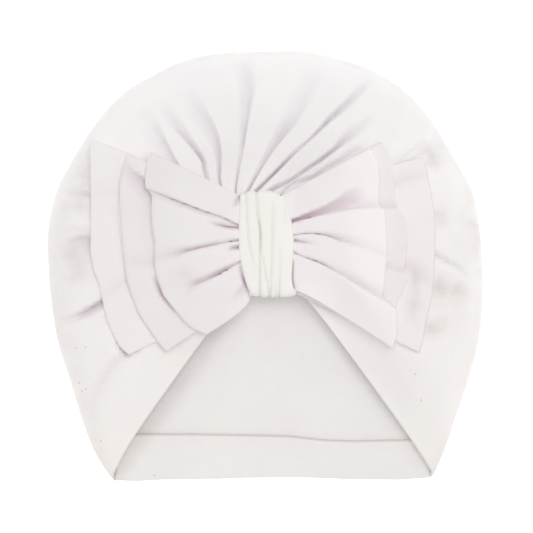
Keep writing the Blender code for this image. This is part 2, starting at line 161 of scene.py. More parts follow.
def quarter_round(t: Array) -> Array:
    """Height share of a round edge at a share t of its width in from the side: a quarter circle."""
    return np.sqrt(1 - (1 - np.clip(t, 0.0, 1.0)) ** 2)


def smooth_rows(rows: Array, steps: int) -> Array:
    """Rows of a table with smooth ones between, by a curve that passes each column's values.

    Args:
        rows: The table, one row a station.
        steps: How many rows each gap becomes.

    Returns:
        The longer table, with the given rows in it.
    """
    knots = np.arange(len(rows))
    at = np.linspace(0, len(rows) - 1, (len(rows) - 1) * steps + 1)
    return np.stack([hermite(knots, column, at) for column in rows.T], axis=1)


def along_line(points: Array, shares: Array) -> Array:
    """Points at shares of a broken line's length.

    Args:
        points: The line's points, one a row.
        shares: From 0 at its start to 1 at its end.

    Returns:
        One point for each share.
    """
    lengths = np.hypot(*np.diff(points, axis=0).T)
    reached = np.concatenate([[0.0], np.cumsum(lengths)]) / lengths.sum()
    return np.stack([np.interp(shares, reached, column) for column in points.T], axis=-1)


def run_length(grid: Array) -> Array:
    """How far along its column each point of a grid is, from the first row on."""
    return np.cumsum(np.linalg.norm(np.diff(grid, axis=0, prepend=grid[:1]), axis=-1), axis=0)


# Folds, hollows and rumples


class Station(NamedTuple):
    """A place along a crease.

    Attributes:
        x: Pixel column.
        y: Pixel row.
        depth: How far the cloth falls there, in mm; a ridge has a depth below zero.
        left: How wide the slope is on the left, going along the crease, in mm.
        right: The same on the right.
    """

    x: float
    y: float
    depth: float
    left: float
    right: float


class Dimple(NamedTuple):
    """A soft round hollow, or a bump where its depth is below zero; pixels, then mm."""

    x: float
    y: float
    depth: float
    reach_x: float
    reach_y: float


class Lip(Enum):
    """Which side of a crease, going along it, has a crisp edge over the valley."""

    NONE = 0.0
    LEFT = 1.0
    RIGHT = -1.0
    BOTH = 2.0


@dataclass(frozen=True)
class Crease:
    """A fold line that the cloth falls into from both sides.

    Attributes:
        stations: Its places in order.
        lip: The side with a crisp upper edge.
        overlap: How far that edge leans over the valley, in mm.
        steps: Rows between two stations.
        slope_power: How sharp the bottom of a soft side is.
        lip_power: How upright the lip's side is at its top.
        lip_reach: How far behind the lip the cloth leans with it, in mm.
    """

    stations: tuple[Station, ...]
    lip: Lip = Lip.NONE
    overlap: float = 0.0
    steps: int = 5
    slope_power: float = 1.45
    lip_power: float = 1.7
    lip_reach: float = 4.0

    def displacement(self, x: Array, y: Array) -> tuple[Array, Array]:
        """How the crease moves cloth that lies at x, y.

        The nearest place on the smooth line gives the distance d and the side. With t as d over
        the slope's width, a soft side falls by depth (1 - t)^slope_power, and the lip's side by
        depth (1 - t^lip_power), which is steepest at its upper edge.

        Args:
            x: Places in mm.
            y: Places in mm.

        Returns:
            Moves along x, y and z as a last axis of three, and the fall, all in mm.
        """
        rows = smooth_rows(PHOTO.place(self.stations), self.steps)
        starts, steps = rows[:-1, :2], np.diff(rows[:, :2], axis=0)
        off_x = x.ravel()[:, None] - starts[:, 0]
        off_y = y.ravel()[:, None] - starts[:, 1]
        share = (off_x * steps[:, 0] + off_y * steps[:, 1]) / (steps**2).sum(axis=1)
        share = np.clip(share, 0, 1)
        gap = np.hypot(off_x - share * steps[:, 0], off_y - share * steps[:, 1])
        nearest = gap.argmin(axis=1)
        pick = np.arange(len(nearest))
        distance = gap[pick, nearest]
        turn = steps[nearest, 0] * off_y[pick, nearest] - steps[nearest, 1] * off_x[pick, nearest]
        at = nearest + share[pick, nearest]
        depth, left, right = (np.interp(at, np.arange(len(rows)), rows[:, i]) for i in (2, 3, 4))
        width = np.where(turn > 0, left, right)
        t = distance / width
        on_lip = (np.sign(turn) == self.lip.value) | (self.lip is Lip.BOTH)
        crisp = np.clip(1 - t**self.lip_power, 0, 1)
        fall = depth * np.where(on_lip, crisp, np.clip(1 - t, 0, 1) ** self.slope_power)
        behind = (t - 1) * width / self.lip_reach
        lean = self.overlap * ease(t) * (1 - ease(behind)) * on_lip
        lean = lean * depth / max(np.abs(depth).max(), 1e-6) * self.lip.value
        unit = steps[nearest] / np.linalg.norm(steps[nearest], axis=1, keepdims=True)
        move = np.stack([unit[:, 1] * lean, -unit[:, 0] * lean, -fall])
        return move.T.reshape(*x.shape, 3), fall.reshape(x.shape)


def fold(*rows: tuple[float, ...], lip: Lip = Lip.NONE, **shape: float) -> Crease:
    """A crease from rows of a station's five numbers, with a crease's other attributes by name."""
    return Crease(tuple(Station(*row) for row in rows), lip, **shape)


def creased(points: Array, creases: Sequence[Crease], share: Array | float = 1.0) -> tuple[Array, Array]:
    """Points of a cloth surface after all its creases.

    Args:
        points: Array whose last axis is x, y, z in mm.
        creases: The creases; each is read at the cloth's place before any of them.
        share: How much of the move each point makes.

    Returns:
        The moved points, and how deep in a fold each is, in mm, which sets its painted shade.
    """
    moved = points.copy()
    deep = np.zeros(points.shape[:-1])
    x, y = points[..., 0], points[..., 1]
    part = np.broadcast_to(share, x.shape)
    for crease in creases:
        move, fall = crease.displacement(x, y)
        moved += move * part[..., None]
        deep = np.maximum(deep, fall * part)
    return moved, deep


def dimpled(x: Array, y: Array, dimples: Sequence[Dimple]) -> Array:
    """Height change from soft round hollows: each falls off as a bell curve.

    Args:
        x: Places in mm.
        y: Places in mm.
        dimples: The hollows, which may be none.

    Returns:
        Height change in mm.
    """
    change = np.zeros_like(x)
    for row in PHOTO.place(dimples) if dimples else ():
        bell = ((x - row[0]) / row[3]) ** 2 + ((y - row[1]) / row[4]) ** 2
        change -= row[2] * np.exp(-bell)
    return change


class Rumple(NamedTuple):
    """Fine unevenness of limp cloth: a seeded sum of slow waves in all directions.

    Attributes:
        height: Rough height of the waves in mm.
        wavelength: Their middle length in mm.
        seed: Picks the waves.
    """

    height: float
    wavelength: float
    seed: int

    WAVES = 14
    SHORTEST = 0.6
    LONGEST = 1.8

    def change(self, x: Array, y: Array) -> Array:
        """Height change of the waves, each a sine along its own direction.

        Args:
            x: Places in mm.
            y: Places in mm.

        Returns:
            Height change in mm.
        """
        random = np.random.default_rng(self.seed)
        total = np.zeros_like(x)
        for _ in range(self.WAVES):
            angle = random.uniform(0, math.pi)
            length = self.wavelength * random.uniform(self.SHORTEST, self.LONGEST)
            phase = random.uniform(0, 2 * math.pi)
            along = x * math.cos(angle) + y * math.sin(angle)
            total += np.sin(2 * math.pi * along / length + phase) * length / self.wavelength
        return total * self.height / math.sqrt(self.WAVES)


# Making meshes


def cloth_object(
    name: str, grid: Array, uv: Array, deep: Array, soft_shade: Array, closed: bool = False, capped: bool = False
) -> Piece:
    """An object from a grid of points, with its faces turned outwards and its cloth's own UV map.

    Args:
        name: The object's name.
        grid: Rows by columns by x, y, z in mm.
        uv: Where each point lies on the flat cloth, in mm.
        deep: How deep in a fold each point is, in mm, which sets its painted shade.
        soft_shade: How much painted soft shade each point has, in the same measure.
        closed: Joins the last row to the first.
        capped: Fills the first row with one face.

    Returns:
        The new object, linked to the scene, at the origin.
    """
    index = np.arange(grid.shape[0] * grid.shape[1]).reshape(grid.shape[:2])
    ring = np.concatenate([index, index[:1]]) if closed else index
    quads = np.stack([ring[:-1, :-1], ring[1:, :-1], ring[1:, 1:], ring[:-1, 1:]], axis=-1)
    faces = quads.reshape(-1, 4).tolist() + ([index[0].tolist()] if capped else [])
    mesh = bpy.data.meshes.new(name)
    mesh.from_pydata((grid.reshape(-1, 3) * MM).tolist(), [], faces)
    corners = np.empty(len(mesh.loops), dtype=np.int32)
    mesh.loops.foreach_get("vertex_index", corners)
    layer = mesh.uv_layers.new(name="cloth")
    layer.data.foreach_set("uv", (uv.reshape(-1, 2) * MM)[corners].astype(np.float32).ravel())
    # Both attributes carry painted shade, which the finishes multiply into the colour
    for attribute, depths in ((FOLD_SHADE_ATTRIBUTE, deep), (SOFT_SHADE_ATTRIBUTE, soft_shade)):
        shares = np.clip(depths.ravel() / DEEPEST_FOLD, 0, 1).astype(np.float32)
        mesh.attributes.new(attribute, "FLOAT", "POINT").data.foreach_set("value", shares)
    body = bmesh.new()
    body.from_mesh(mesh)
    bmesh.ops.recalc_face_normals(body, faces=body.faces)
    body.normal_update()
    if max(body.verts, key=lambda vertex: vertex.co.z).normal.z < 0:
        bmesh.ops.reverse_faces(body, faces=body.faces)
    body.to_mesh(mesh)
    body.free()
    mesh.shade_smooth()
    piece = bpy.data.objects.new(name, mesh)
    bpy.context.scene.collection.objects.link(piece)
    return piece


def give_wall(piece: Piece, thickness: float, offset: float) -> bpy.types.Modifier:
    """Gives a cloth surface its wall.

    Args:
        piece: The surface.
        thickness: The wall in mm.
        offset: -1 grows it inwards and 0 to both sides.

    Returns:
        The modifier.
    """
    wall = piece.modifiers.new("cloth", "SOLIDIFY")
    wall.thickness = thickness * MM
    wall.offset = offset
    wall.use_even_offset = False
    return wall


# Finishes


class NodeBoard:
    """Adds and joins the shader nodes of one material."""

    def __init__(self, name: str) -> None:
        """Starts a material with an empty Principled surface."""
        self.material = bpy.data.materials.new(name)
        self.material.use_nodes = True
        self.tree = self.material.node_tree

    def fill(self, node: bpy.types.Node, values: dict) -> bpy.types.Node:
        """Sets a node's inputs, each to a value or to the output socket that feeds it."""
        for name, value in values.items():
            if isinstance(value, Socket):
                self.tree.links.new(value, node.inputs[name])
            else:
                node.inputs[name].default_value = value
        return node

    def surface(self, values: dict) -> bpy.types.Material:
        """Sets inputs of the Principled surface, and gives back the finished material."""
        self.fill(self.tree.nodes["Principled BSDF"], values)
        return self.material

    def add(self, kind: str, values: dict | None = None, **settings: object) -> bpy.types.Node:
        """Adds a node.

        Args:
            kind: The node's type, without the words that every shader node's type starts with.
            values: Input name or number to a value, or to an output socket that feeds it.
            settings: The node's own properties.

        Returns:
            The node.
        """
        node = self.tree.nodes.new("ShaderNode" + kind)
        for name, setting in settings.items():
            setattr(node, name, setting)
        return self.fill(node, values or {})

    def noise(self, place: Socket, scale: float, detail: float) -> Socket:
        """Noise between 0 and 1."""
        return self.add("TexNoise", {"Vector": place, "Scale": scale, "Detail": detail}).outputs["Fac"]

    def math(self, operation: str, one: Socket, other: Socket | float) -> Socket:
        """A sum or product of two numbers."""
        return self.add("Math", {0: one, 1: other}, operation=operation).outputs[0]

    def spread(
        self, value: Socket, source: tuple[float, float], target: tuple[float, float] = (0.0, 1.0)
    ) -> Socket:
        """Carries a value from one range over to another, and holds it inside that."""
        values = {"Value": value, "From Min": source[0], "From Max": source[1]}
        values.update({"To Min": target[0], "To Max": target[1]})
        return self.add("MapRange", values).outputs["Result"]

    def mix(self, share: Socket, colour: Socket | Colour, other: Colour, blend: str = "MIX") -> Socket:
        """A colour with a share of another one, mixed in or multiplied."""
        first = colour if isinstance(colour, Socket) else (*colour, 1.0)
        values = {0: share, "A": first, "B": (*other, 1.0)}
        return self.add("Mix", values, data_type="RGBA", blend_type=blend).outputs["Result"]


@dataclass(frozen=True)
class JerseyFinish:
    """Soft cotton jersey: fine ribs and rows of stitches, a short nap, patchy tone, a slow tint change
    along one axis, and painted shade.

    Attributes:
        name: The material's name.
        light: Linear colour of the brighter cloth.
        dark: Linear colour of the duller patches.
        far_tint: What the colour is multiplied by at the far end of its slow change.
        tint_axis: The axis of that change: Y runs down to the cap's foot, X to its left side.
        rib: Distance between ribs of the knit, in metres.
        relief: How strongly the knit shows.
        shade: What painted shade of a fold of the full depth multiplies the colour by.
        soft_shade: What painted soft shade of the full depth multiplies the colour by, in hollows, along
            rims and inside the cap.
        soft_shade_spread: How uneven that is, as a share up and down.
        painted_glow: Linear colour of a faint painted glow that lifts the cloth's shade.
        specks: Pixels of the small dark specks on the cloth.
    """

    name: str
    light: Colour
    dark: Colour
    far_tint: Colour = (1.0, 1.0, 1.0)
    tint_axis: str = "Y"
    rib: float = 0.0007
    relief: float = 0.12
    shade: Colour = (0.49, 0.37, 0.53)
    soft_shade: Colour = (0.53, 0.45, 0.41)
    soft_shade_spread: float = 0.7
    painted_glow: Colour = (0.86, 0.82, 0.83)
    specks: tuple[tuple[float, float], ...] = ()

    # The emission is a faint painted glow that lifts the shade of every cloth
    SURFACE = {
        "Roughness": 0.95,
        "Specular IOR Level": 0.15,
        "Sheen Weight": 0.1,
        "Sheen Roughness": 0.6,
        "Emission Strength": 0.08,
    }
    DETAIL = 3.0
    PATCH_SCALE = 26.0
    PATCH_RANGE = (0.5, 0.8)
    MOTTLE_SCALE = 260.0
    MOTTLE_DETAIL = 2.0
    MOTTLE_SHARE = 0.3
    TINT_RANGE = (0.09, -0.09)
    SOFT_SHADE_SCALE = 120.0
    SOFT_SHADE_RANGE = (0.3, 0.7)
    SPECK_REACH = 0.0006
    SPECK_SHARE = 0.7
    SPECK_COLOUR = (0.42, 0.34, 0.33)
    # Radians that the wave texture runs over in a metre at scale 1
    WAVE_RADIANS = 20
    RIB_WAVER = 1.2
    ROW_WAVER = 1.6
    ROWS_A_RIB = 1.3
    NAP_SCALE = 900.0
    BUMP_DISTANCE = 0.00025

    def material(self) -> bpy.types.Material:
        """Builds the material from its colour, its bump and a faint painted glow.

        Returns:
            The material.
        """
        board = NodeBoard(self.name)
        place = board.add("TexCoord").outputs["Object"]
        values = {"Base Color": self._colour(board, place), "Normal": self._relief(board, place)}
        return board.surface(self.SURFACE | values | {"Emission Color": (*self.painted_glow, 1.0)})

    def _colour(self, board: NodeBoard, place: Socket) -> Socket:
        """Mixes the two tints by slow and fast noise, then adds the slow change, painted shade and specks.

        Painted fold shade multiplies the colour by the shade colour, and painted soft shade by its own
        colour, times 1 plus or minus the spread, by a noise. A speck's distance is measured flat, whatever
        its height.

        Args:
            board: The material's nodes.
            place: Places on the object in metres.

        Returns:
            The colour.
        """
        patches = board.noise(place, self.PATCH_SCALE, self.DETAIL)
        mottle = board.noise(place, self.MOTTLE_SCALE, self.MOTTLE_DETAIL)
        total = board.math("ADD", patches, board.math("MULTIPLY", mottle, self.MOTTLE_SHARE))
        colour = board.mix(board.spread(total, self.PATCH_RANGE), self.light, self.dark)
        along = board.add("SeparateXYZ", {0: place}).outputs[self.tint_axis]
        colour = board.mix(board.spread(along, self.TINT_RANGE), colour, self.far_tint, "MULTIPLY")
        # Both attributes hold painted shade, which darkens the colour below
        folds = board.add("Attribute", attribute_name=FOLD_SHADE_ATTRIBUTE).outputs["Fac"]
        hollows = board.add("Attribute", attribute_name=SOFT_SHADE_ATTRIBUTE).outputs["Fac"]
        colour = board.mix(folds, colour, self.shade, "MULTIPLY")
        spread = (1 - self.soft_shade_spread, 1 + self.soft_shade_spread)
        uneven = board.spread(board.noise(place, self.SOFT_SHADE_SCALE, self.DETAIL), self.SOFT_SHADE_RANGE, spread)
        colour = board.mix(board.math("MULTIPLY", hollows, uneven), colour, self.soft_shade, "MULTIPLY")
        for speck in self.specks:
            x, y = PHOTO.place([speck])[0] * MM
            flat = board.add("VectorMath", {0: place, 1: (1.0, 1.0, 0.0)}, operation="MULTIPLY").outputs[0]
            gap = board.add("VectorMath", {0: flat, 1: (x, y, 0.0)}, operation="DISTANCE").outputs["Value"]
            near = board.spread(gap, (self.SPECK_REACH, 0.0), (0.0, self.SPECK_SHARE))
            colour = board.mix(near, colour, self.SPECK_COLOUR)
        return colour

    def _relief(self, board: NodeBoard, place: Socket) -> Socket:
        """The knit as a bump: a wave across the ribs times one along them, and the nap's noise.

        Args:
            board: The material's nodes.
            place: Places on the object in metres.

        Returns:
            The bumped normal.
        """
        cloth = board.add("TexCoord").outputs["UV"]
        scale = 2 * math.pi / (self.WAVE_RADIANS * self.rib)
        ribs, rows = (
            board.add(
                "TexWave",
                {"Vector": cloth, "Scale": scale * number, "Distortion": waver, "Detail": 1.0},
                bands_direction=axis,
            ).outputs["Fac"]
            for axis, number, waver in (("X", 1.0, self.RIB_WAVER), ("Y", self.ROWS_A_RIB, self.ROW_WAVER))
        )
        nap = board.noise(place, self.NAP_SCALE, self.DETAIL)
        height = board.math("ADD", board.math("MULTIPLY", ribs, rows), nap)
        values = {"Height": height, "Strength": self.relief, "Distance": self.BUMP_DISTANCE}
        return board.add("Bump", values).outputs["Normal"]


# The crown's far tint makes it slowly warmer towards the foot
CROWN_FINISH = JerseyFinish(
    name="crown_jersey",
    light=(0.904, 0.908, 0.901),
    dark=(0.887, 0.882, 0.889),
    far_tint=(1.0, 0.972, 0.945),
    specks=((76, 348), (86, 347), (79, 383), (82, 391), (86, 389), (101, 441), (415, 374), (421, 400)),
)
# The inside's colours are a little duller and warmer than the front's; its shade colours tint the painted
# shade inside the cap
CROWN_INSIDE_FINISH = JerseyFinish(
    name="crown_jersey_inside",
    light=(0.895, 0.885, 0.865),
    dark=(0.88, 0.86, 0.852),
    shade=(0.45, 0.40, 0.38),
    soft_shade=(0.46, 0.43, 0.41),
    soft_shade_spread=0.12,
    specks=((154, 476),),
)
BOW_FINISH = JerseyFinish(
    name="bow_jersey", light=(0.885, 0.858, 0.86), dark=(0.87, 0.83, 0.842), shade=(0.36, 0.20, 0.31)
)
# Painted shade: the middle loop's colours are a darker copy of the back loop's
BOW_MIDDLE_SHADED_FINISH = replace(
    BOW_FINISH, name="bow_jersey_middle_shaded", light=(0.847, 0.821, 0.823), dark=(0.833, 0.794, 0.806)
)
# Painted light and shade: the front loop's colours are a brighter copy of the back loop's, and its far
# tint darkens them towards its left side
BOW_FRONT_LIT_FINISH = replace(
    BOW_FINISH,
    name="bow_jersey_front_lit",
    light=(0.973, 0.944, 0.946),
    dark=(0.957, 0.913, 0.926),
    far_tint=(0.82, 0.82, 0.82),
    tint_axis="X",
)
BAND_FINISH = JerseyFinish(
    name="band_jersey",
    light=(0.91, 0.91, 0.88),
    dark=(0.89, 0.885, 0.845),
    rib=0.0009,
    shade=(0.41, 0.34, 0.22),
    painted_glow=(0.86, 0.85, 0.80),
)


# The cap


@dataclass(frozen=True)
class CapForm:
    """The puffed front of the lying cap, which the bow's layers follow.

    Attributes are millimetres unless they say otherwise.
    """

    crest: float = 22.0
    knot_height: float = 11.5
    corner_height: float = 6.0
    knot_x: float = 0.7
    knot_y: float = 9.4
    seat_half_width: float = 12.5
    seat_half_height: float = 21.6
    seat_slope: float = 27.0
    edge_puff: float = 38.0
    hem_slope: float = 30.0
    least_share: float = 0.02
    apex_y: float = -11.5
    apex_left_x: float = -8.6
    apex_right_x: float = 15.4

    # Angles in degrees; at each, the outline's radius and the height of the widest line
    RIM_ANGLES = (-51.4, -46.0, *range(-40, 221, 10), 228.0, 234.4)
    RIM_RADII = (
        124, 118.9, 113.4, 107.8, 104.5, 101.7, 100.1, 100.3, 101.2, 99.9, 101.3, 102.8, 102.6, 101, 100,
        98.5, 99.6, 101.4, 101.8, 102.8, 101.9, 101.3, 102.1, 101.6, 100.2, 100.3, 102.1, 104.5, 110.6,
        117.2, 121.3,
    )
    RIM_HEIGHTS = (3.4, 3.7, 4, 4.8, 5.5, 6.2, 6.4, *[6.5] * 18, 6.3, 5.8, 5, 4.2, 3.7, 3.4)

    def rim_radius(self, angle: Array) -> Array:
        """Outline radius at angles in degrees, by a smooth curve through the table."""
        return hermite(self.RIM_ANGLES, self.RIM_RADII, angle)

    def rim_height(self, angle: Array) -> Array:
        """Height of the outline over the table at angles in degrees."""
        return hermite(self.RIM_ANGLES, self.RIM_HEIGHTS, angle)

    def rim_point(self, angle: Array) -> tuple[Array, Array]:
        """The outline's x and y at angles in degrees, from its radius there."""
        turn = np.radians(angle)
        radius = self.rim_radius(angle)
        return radius * np.cos(turn), radius * np.sin(turn)

    def hem_distance(self, x: Array, y: Array) -> tuple[Array, Array]:
        """How far places are above the slanting front hems, and the hem's height beside them.

        The distance is to the nearest of three straight edges: the two hems and the short apex
        between them. The height falls evenly from the knot to each corner.

        Args:
            x: Places in mm.
            y: Places in mm.

        Returns:
            Distance, below zero in the open mouth, and the nearest edge's height.
        """
        left, right = (self.rim_point(np.array(self.RIM_ANGLES[end])) for end in (-1, 0))
        left_apex = (self.apex_left_x, self.apex_y)
        right_apex = (self.apex_right_x, self.apex_y)
        gaps, shares = [], []
        for start, end in ((left_apex, left), (right_apex, right), (left_apex, right_apex)):
            dx, dy = end[0] - start[0], end[1] - start[1]
            share = np.clip(((x - start[0]) * dx + (y - start[1]) * dy) / (dx**2 + dy**2), 0, 1)
            gaps.append(np.hypot(x - start[0] - share * dx, y - start[1] - share * dy))
            shares.append(share)
        share = np.where(gaps[1] < gaps[0], shares[1], shares[0])
        edge_x, edge_y = zip(left, left_apex, right_apex, right)
        away = np.minimum.reduce(gaps) * np.where(y >= np.interp(x, edge_x, edge_y), 1.0, -1.0)
        return away, self.knot_height + (self.corner_height - self.knot_height) * share

    def height(self, x: Array, y: Array, least_inset: float = 0.0) -> Array:
        """Height of the front before its folds.

        A quarter ellipse rises from the rim to the crest. A bell-shaped pinch pulls it down to
        the knot's height round the seat, and it eases down to the hems' height over the slope.

        Args:
            x: Places in mm.
            y: Places in mm.
            least_inset: Keeps the form from rounding off at the rim, for what lies on it.

        Returns:
            Heights in mm.
        """
        # The table's angles run round from the foot, at -90 degrees
        angle = (np.degrees(np.arctan2(y, x)) + 90) % 360 - 90
        inset = np.maximum(self.rim_radius(angle) - np.hypot(x, y), 0.0)
        low = self.rim_height(angle)
        rise = quarter_round(np.hypot(inset, least_inset) / self.edge_puff)
        z = low + (self.crest - low) * rise
        off_x = np.maximum(np.abs(x - self.knot_x) - self.seat_half_width, 0)
        off_y = np.maximum(np.abs(y - self.knot_y) - self.seat_half_height, 0)
        pinch = np.exp(-(off_x**2 + off_y**2) / self.seat_slope**2)
        z = z + (self.knot_height - z) * pinch
        away, edge = self.hem_distance(x, y)
        return np.minimum(z, edge + (z - edge) * ease(away / self.hem_slope + self.least_share))


CAP = CapForm()


# Rim angle in degrees, how much painted shade darkens the cloth at the rim there, and how many mm in that
# reaches
RIM_SHADE = (
    (-51.4, 1.3, 6), (-20, 1.2, 6), (10, 1.8, 6), (45, 1.3, 4.5), (90, 2.2, 3.6), (120, 1.5, 5),
    (150, 0.9, 8), (180, 1.1, 14), (215, 1.1, 14), (234.4, 1, 10),
)
# Rim angle in degrees, then x and y of the seat's edge in mm where that line starts
SEAT = (
    (-51.4, 15.4, -11.5), (-43.6, 14.6, -9.6), (-21, 13.2, -4), (-8, 13.2, 3), (14, 13.2, 17),
    (31, 13, 24), (42, 9, 31), (57.4, -1.5, 31), (74, -6.8, 31), (92.4, -11.6, 31), (111, -12, 27.5),
    (134, -12, 20), (171.5, -12, 10.5), (195, -11.6, 4.5), (222.8, -9.2, -8.4), (234.4, -8.6, -11.5),
)
# x in mm, then the share of the broad painted shade beside a hem there, and the painted shade that its own
# line adds
MOUTH_SIDES = ((-25, 0.9, 0.6), (-3, 0, 0), (25, 0.12, -1), (60, 0.45, -1.4))
# Share of the columns, which are close together over the gathers, and the rim angle reached there
COLUMN_ANGLES = ((0, -51.4), (0.17, 20), (0.8, 152), (1, 234.4))
# The gathers above the knot, from the photograph's left to its right
GATHERS = (
    fold((186, 182, 2, 5, 1.6), (172, 160, 3.4, 6, 1.8), (163, 145, 3, 7, 2.4), (155, 132, 1.8, 8, 3.5),
         (147, 120, 0.8, 8, 5), (140, 108, 0, 8, 6), lip=Lip.RIGHT),
    fold((211, 200, 2.8, 0.9, 1.3), (204.5, 172, 4.4, 0.9, 1.5), (202, 161, 5, 1, 1.9),
         (195.5, 152, 4.8, 0.9, 2.6), (188, 143, 4.6, 0.9, 3.2), (180.5, 134, 3.9, 1, 4),
         (173.5, 125, 2.6, 1.4, 4.8), (167, 116, 1.4, 2.4, 5.5), (160, 106, 0, 4, 6), lip=Lip.LEFT,
         overlap=0.4),
    fold((227, 204, 2.5, 1.2, 0.9), (220, 182, 3.6, 1.3, 0.9), (219.3, 166, 3.9, 1.7, 1.3),
         (218, 151, 4, 2.8, 2.1), (213.5, 139, 3.7, 4.4, 3.4), (207, 128, 3.1, 6, 4.4),
         (199, 116, 2.2, 7, 5), (191, 104, 1.2, 8, 5.5), (183, 92, 0, 8, 6), lip=Lip.RIGHT, overlap=0.5),
    fold((239, 206, 2.5, 0.9, 0.7), (236, 190, 3.4, 1, 0.8), (240.2, 160, 2.1, 1.3, 0.9),
         (243.8, 140, 3.7, 2.5, 1.2), (245.6, 120, 3.4, 4.2, 1.9), (246.6, 102, 3.5, 5.6, 3.2),
         (246, 86, 2.7, 6, 5), (243, 72, 1.8, 7, 6), (242, 56, 0, 8, 7), lip=Lip.RIGHT, overlap=0.5),
    fold((243, 203, 2, 0.9, 0.7), (249, 190, 3.8, 1.4, 0.8), (260, 170, 3.4, 2, 0.9),
         (270.3, 153, 3.8, 2.8, 1.1), (278, 142, 4.5, 3.8, 1.6), (285, 131, 4.4, 4.8, 2.4),
         (292, 120, 3, 6, 3.2), (300, 105, 2.2, 7, 4), (308, 88, 1.3, 8, 5), (318, 66, 0, 8, 7),
         lip=Lip.RIGHT, overlap=0.4),
    fold((250, 202, 3, 1, 0.8), (258, 190, 5.8, 1.2, 0.9), (277.8, 170, 7, 1.2, 0.9),
         (295, 153, 4, 1.4, 0.8), (307, 142, 4, 0.9, 0.8), (318.6, 131, 6, 1.1, 0.9),
         (329.5, 120, 5.6, 1.9, 1.4), (341, 109, 4.8, 2, 2.4), (352, 98.5, 3.8, 2.3, 3.2),
         (363, 88, 2, 3.5, 3.5), (377, 78, 0, 5, 5)),
    fold((262, 200, 2.4, 1.4, 1), (272, 190.5, 5.2, 2, 1), (290.5, 181, 4.6, 1.5, 0.8),
         (306, 170, 5.2, 1.4, 0.9), (322.2, 159, 6.4, 1.4, 1.1), (336.6, 148, 5.6, 1.9, 1.3),
         (348, 137.5, 3.8, 3.5, 2.5), (362, 126, 1.8, 4.5, 3.5), (376, 114, 0, 5, 5)),
    fold((276, 202, 1.5, 1, 0.9), (284, 191, 2.4, 1.4, 0.9), (295, 183.5, 3.2, 1.6, 1),
         (313, 178, 3.4, 1.8, 1.2), (325, 170, 2.6, 1.8, 1.2), (338, 162.5, 2.6, 2, 1.4),
         (351, 154, 2.2, 2.6, 2), (364, 147, 0, 3, 3)),
)
# Creases of the two sides, each going outwards
SIDE_FOLDS = (
    fold((100, 197, 1.6, 4, 3), (80, 194, 2, 4, 3), (64, 193, 1.6, 4, 3), (54, 192, 0, 4, 4)),
    fold((98, 175, -0.8, 2, 2), (76, 173.5, -1, 2.2, 2.2), (62, 177, 0, 3, 3)),
    fold((98, 226, -1.2, 3, 3), (75, 226, -1.4, 2.6, 2.6), (60, 230, -0.8, 3.5, 3.5), (52, 233, 0, 4, 4)),
    fold((102, 241, 2.8, 8, 2.4), (84, 238, 3.2, 10, 2), (70, 243, 2, 10, 3), (57, 250, 0, 10, 6)),
    fold((114, 295, 4, 4, 1.6), (106, 299, 6, 4, 1.5), (97, 304.5, 7, 4, 1.4), (88, 309.5, 8, 4, 1.4),
         (78, 315, 4.4, 4, 1.6), (66, 320, 2.2, 5, 2.4), (56, 324, 0, 5, 5), overlap=0.8),
    fold((136, 350, 2.4, 4, 2), (126, 354, 2.4, 4, 2.4), (112, 366, 1.8, 5, 4), (100, 385, 1.3, 6, 5),
         (92, 407, 0.6, 6, 6), (88, 422, 0, 6, 6)),
    fold((392, 166, -1.2, 2.4, 2.4), (403, 154, -2.6, 2.5, 2.5), (415, 146, -2.8, 2.6, 2.6),
         (425, 139, -2.4, 2.6, 2.6), (431, 135, 0, 2.2, 2.2)),
    fold((428, 250, 2.2, 2, 1.4), (436, 255.5, 2.8, 2, 1.2), (447, 262, 2.6, 2, 1.2),
         (458, 268, 1.6, 3, 2), (474, 282, 0, 4, 4)),
    fold((404, 166, 1.6, 2.5, 2.5), (420, 155, 1.8, 2.5, 2.5), (432, 148, 0.8, 3, 3),
         (440, 143, 0, 3, 3)),
    # These two mostly paint shade: a short dark line below the back loop's lower left end, and one below
    # the front loop's right wing
    fold((114, 338, 0, 1.2, 1.2), (120, 347, 2.4, 1.2, 1.2), (126, 353, 3.4, 1.3, 1.3),
         (132, 357, 0, 1.3, 1.3)),
    fold((310, 299, 0, 1.6, 1.6), (320, 303.6, 0.9, 1.8, 1.8), (334, 312.6, 0.9, 2, 2),
         (344, 319.5, 0, 2, 2)),
)
# Soft hollows and bumps of the front, between the folds; the hollows also get painted shade
DIMPLES = (
    Dimple(431, 161, 2, 4.5, 3.8), Dimple(436, 152, 1.2, 6, 6), Dimple(437, 217, 1.6, 4, 5),
    Dimple(437, 290, 2, 3.2, 6.5), Dimple(449, 287, 1.2, 5, 4.5), Dimple(459, 294, 1.4, 4.5, 6),
    Dimple(447, 318, 0.9, 8, 6), Dimple(428, 331, 1.5, 6, 4), Dimple(471, 211, 2.4, 4, 12),
    Dimple(470, 244, 0.9, 6, 10), Dimple(452, 184, -0.6, 5, 7), Dimple(430, 121, 0.9, 7, 7),
    Dimple(390, 131, 0.3, 5, 5), Dimple(184, 347, 0.7, 12, 8), Dimple(83, 163, 2.6, 6, 10),
    Dimple(400, 100, 0.45, 12, 7), Dimple(86, 184, 0.8, 6, 4), Dimple(76, 208, 1.3, 10, 8),
    Dimple(78, 258, 1.6, 11, 11), Dimple(118, 150, -1.4, 9, 12), Dimple(150, 110, -0.8, 12, 9),
    Dimple(268, 80, -0.8, 7, 14), Dimple(330, 85, -0.9, 8, 10),
)
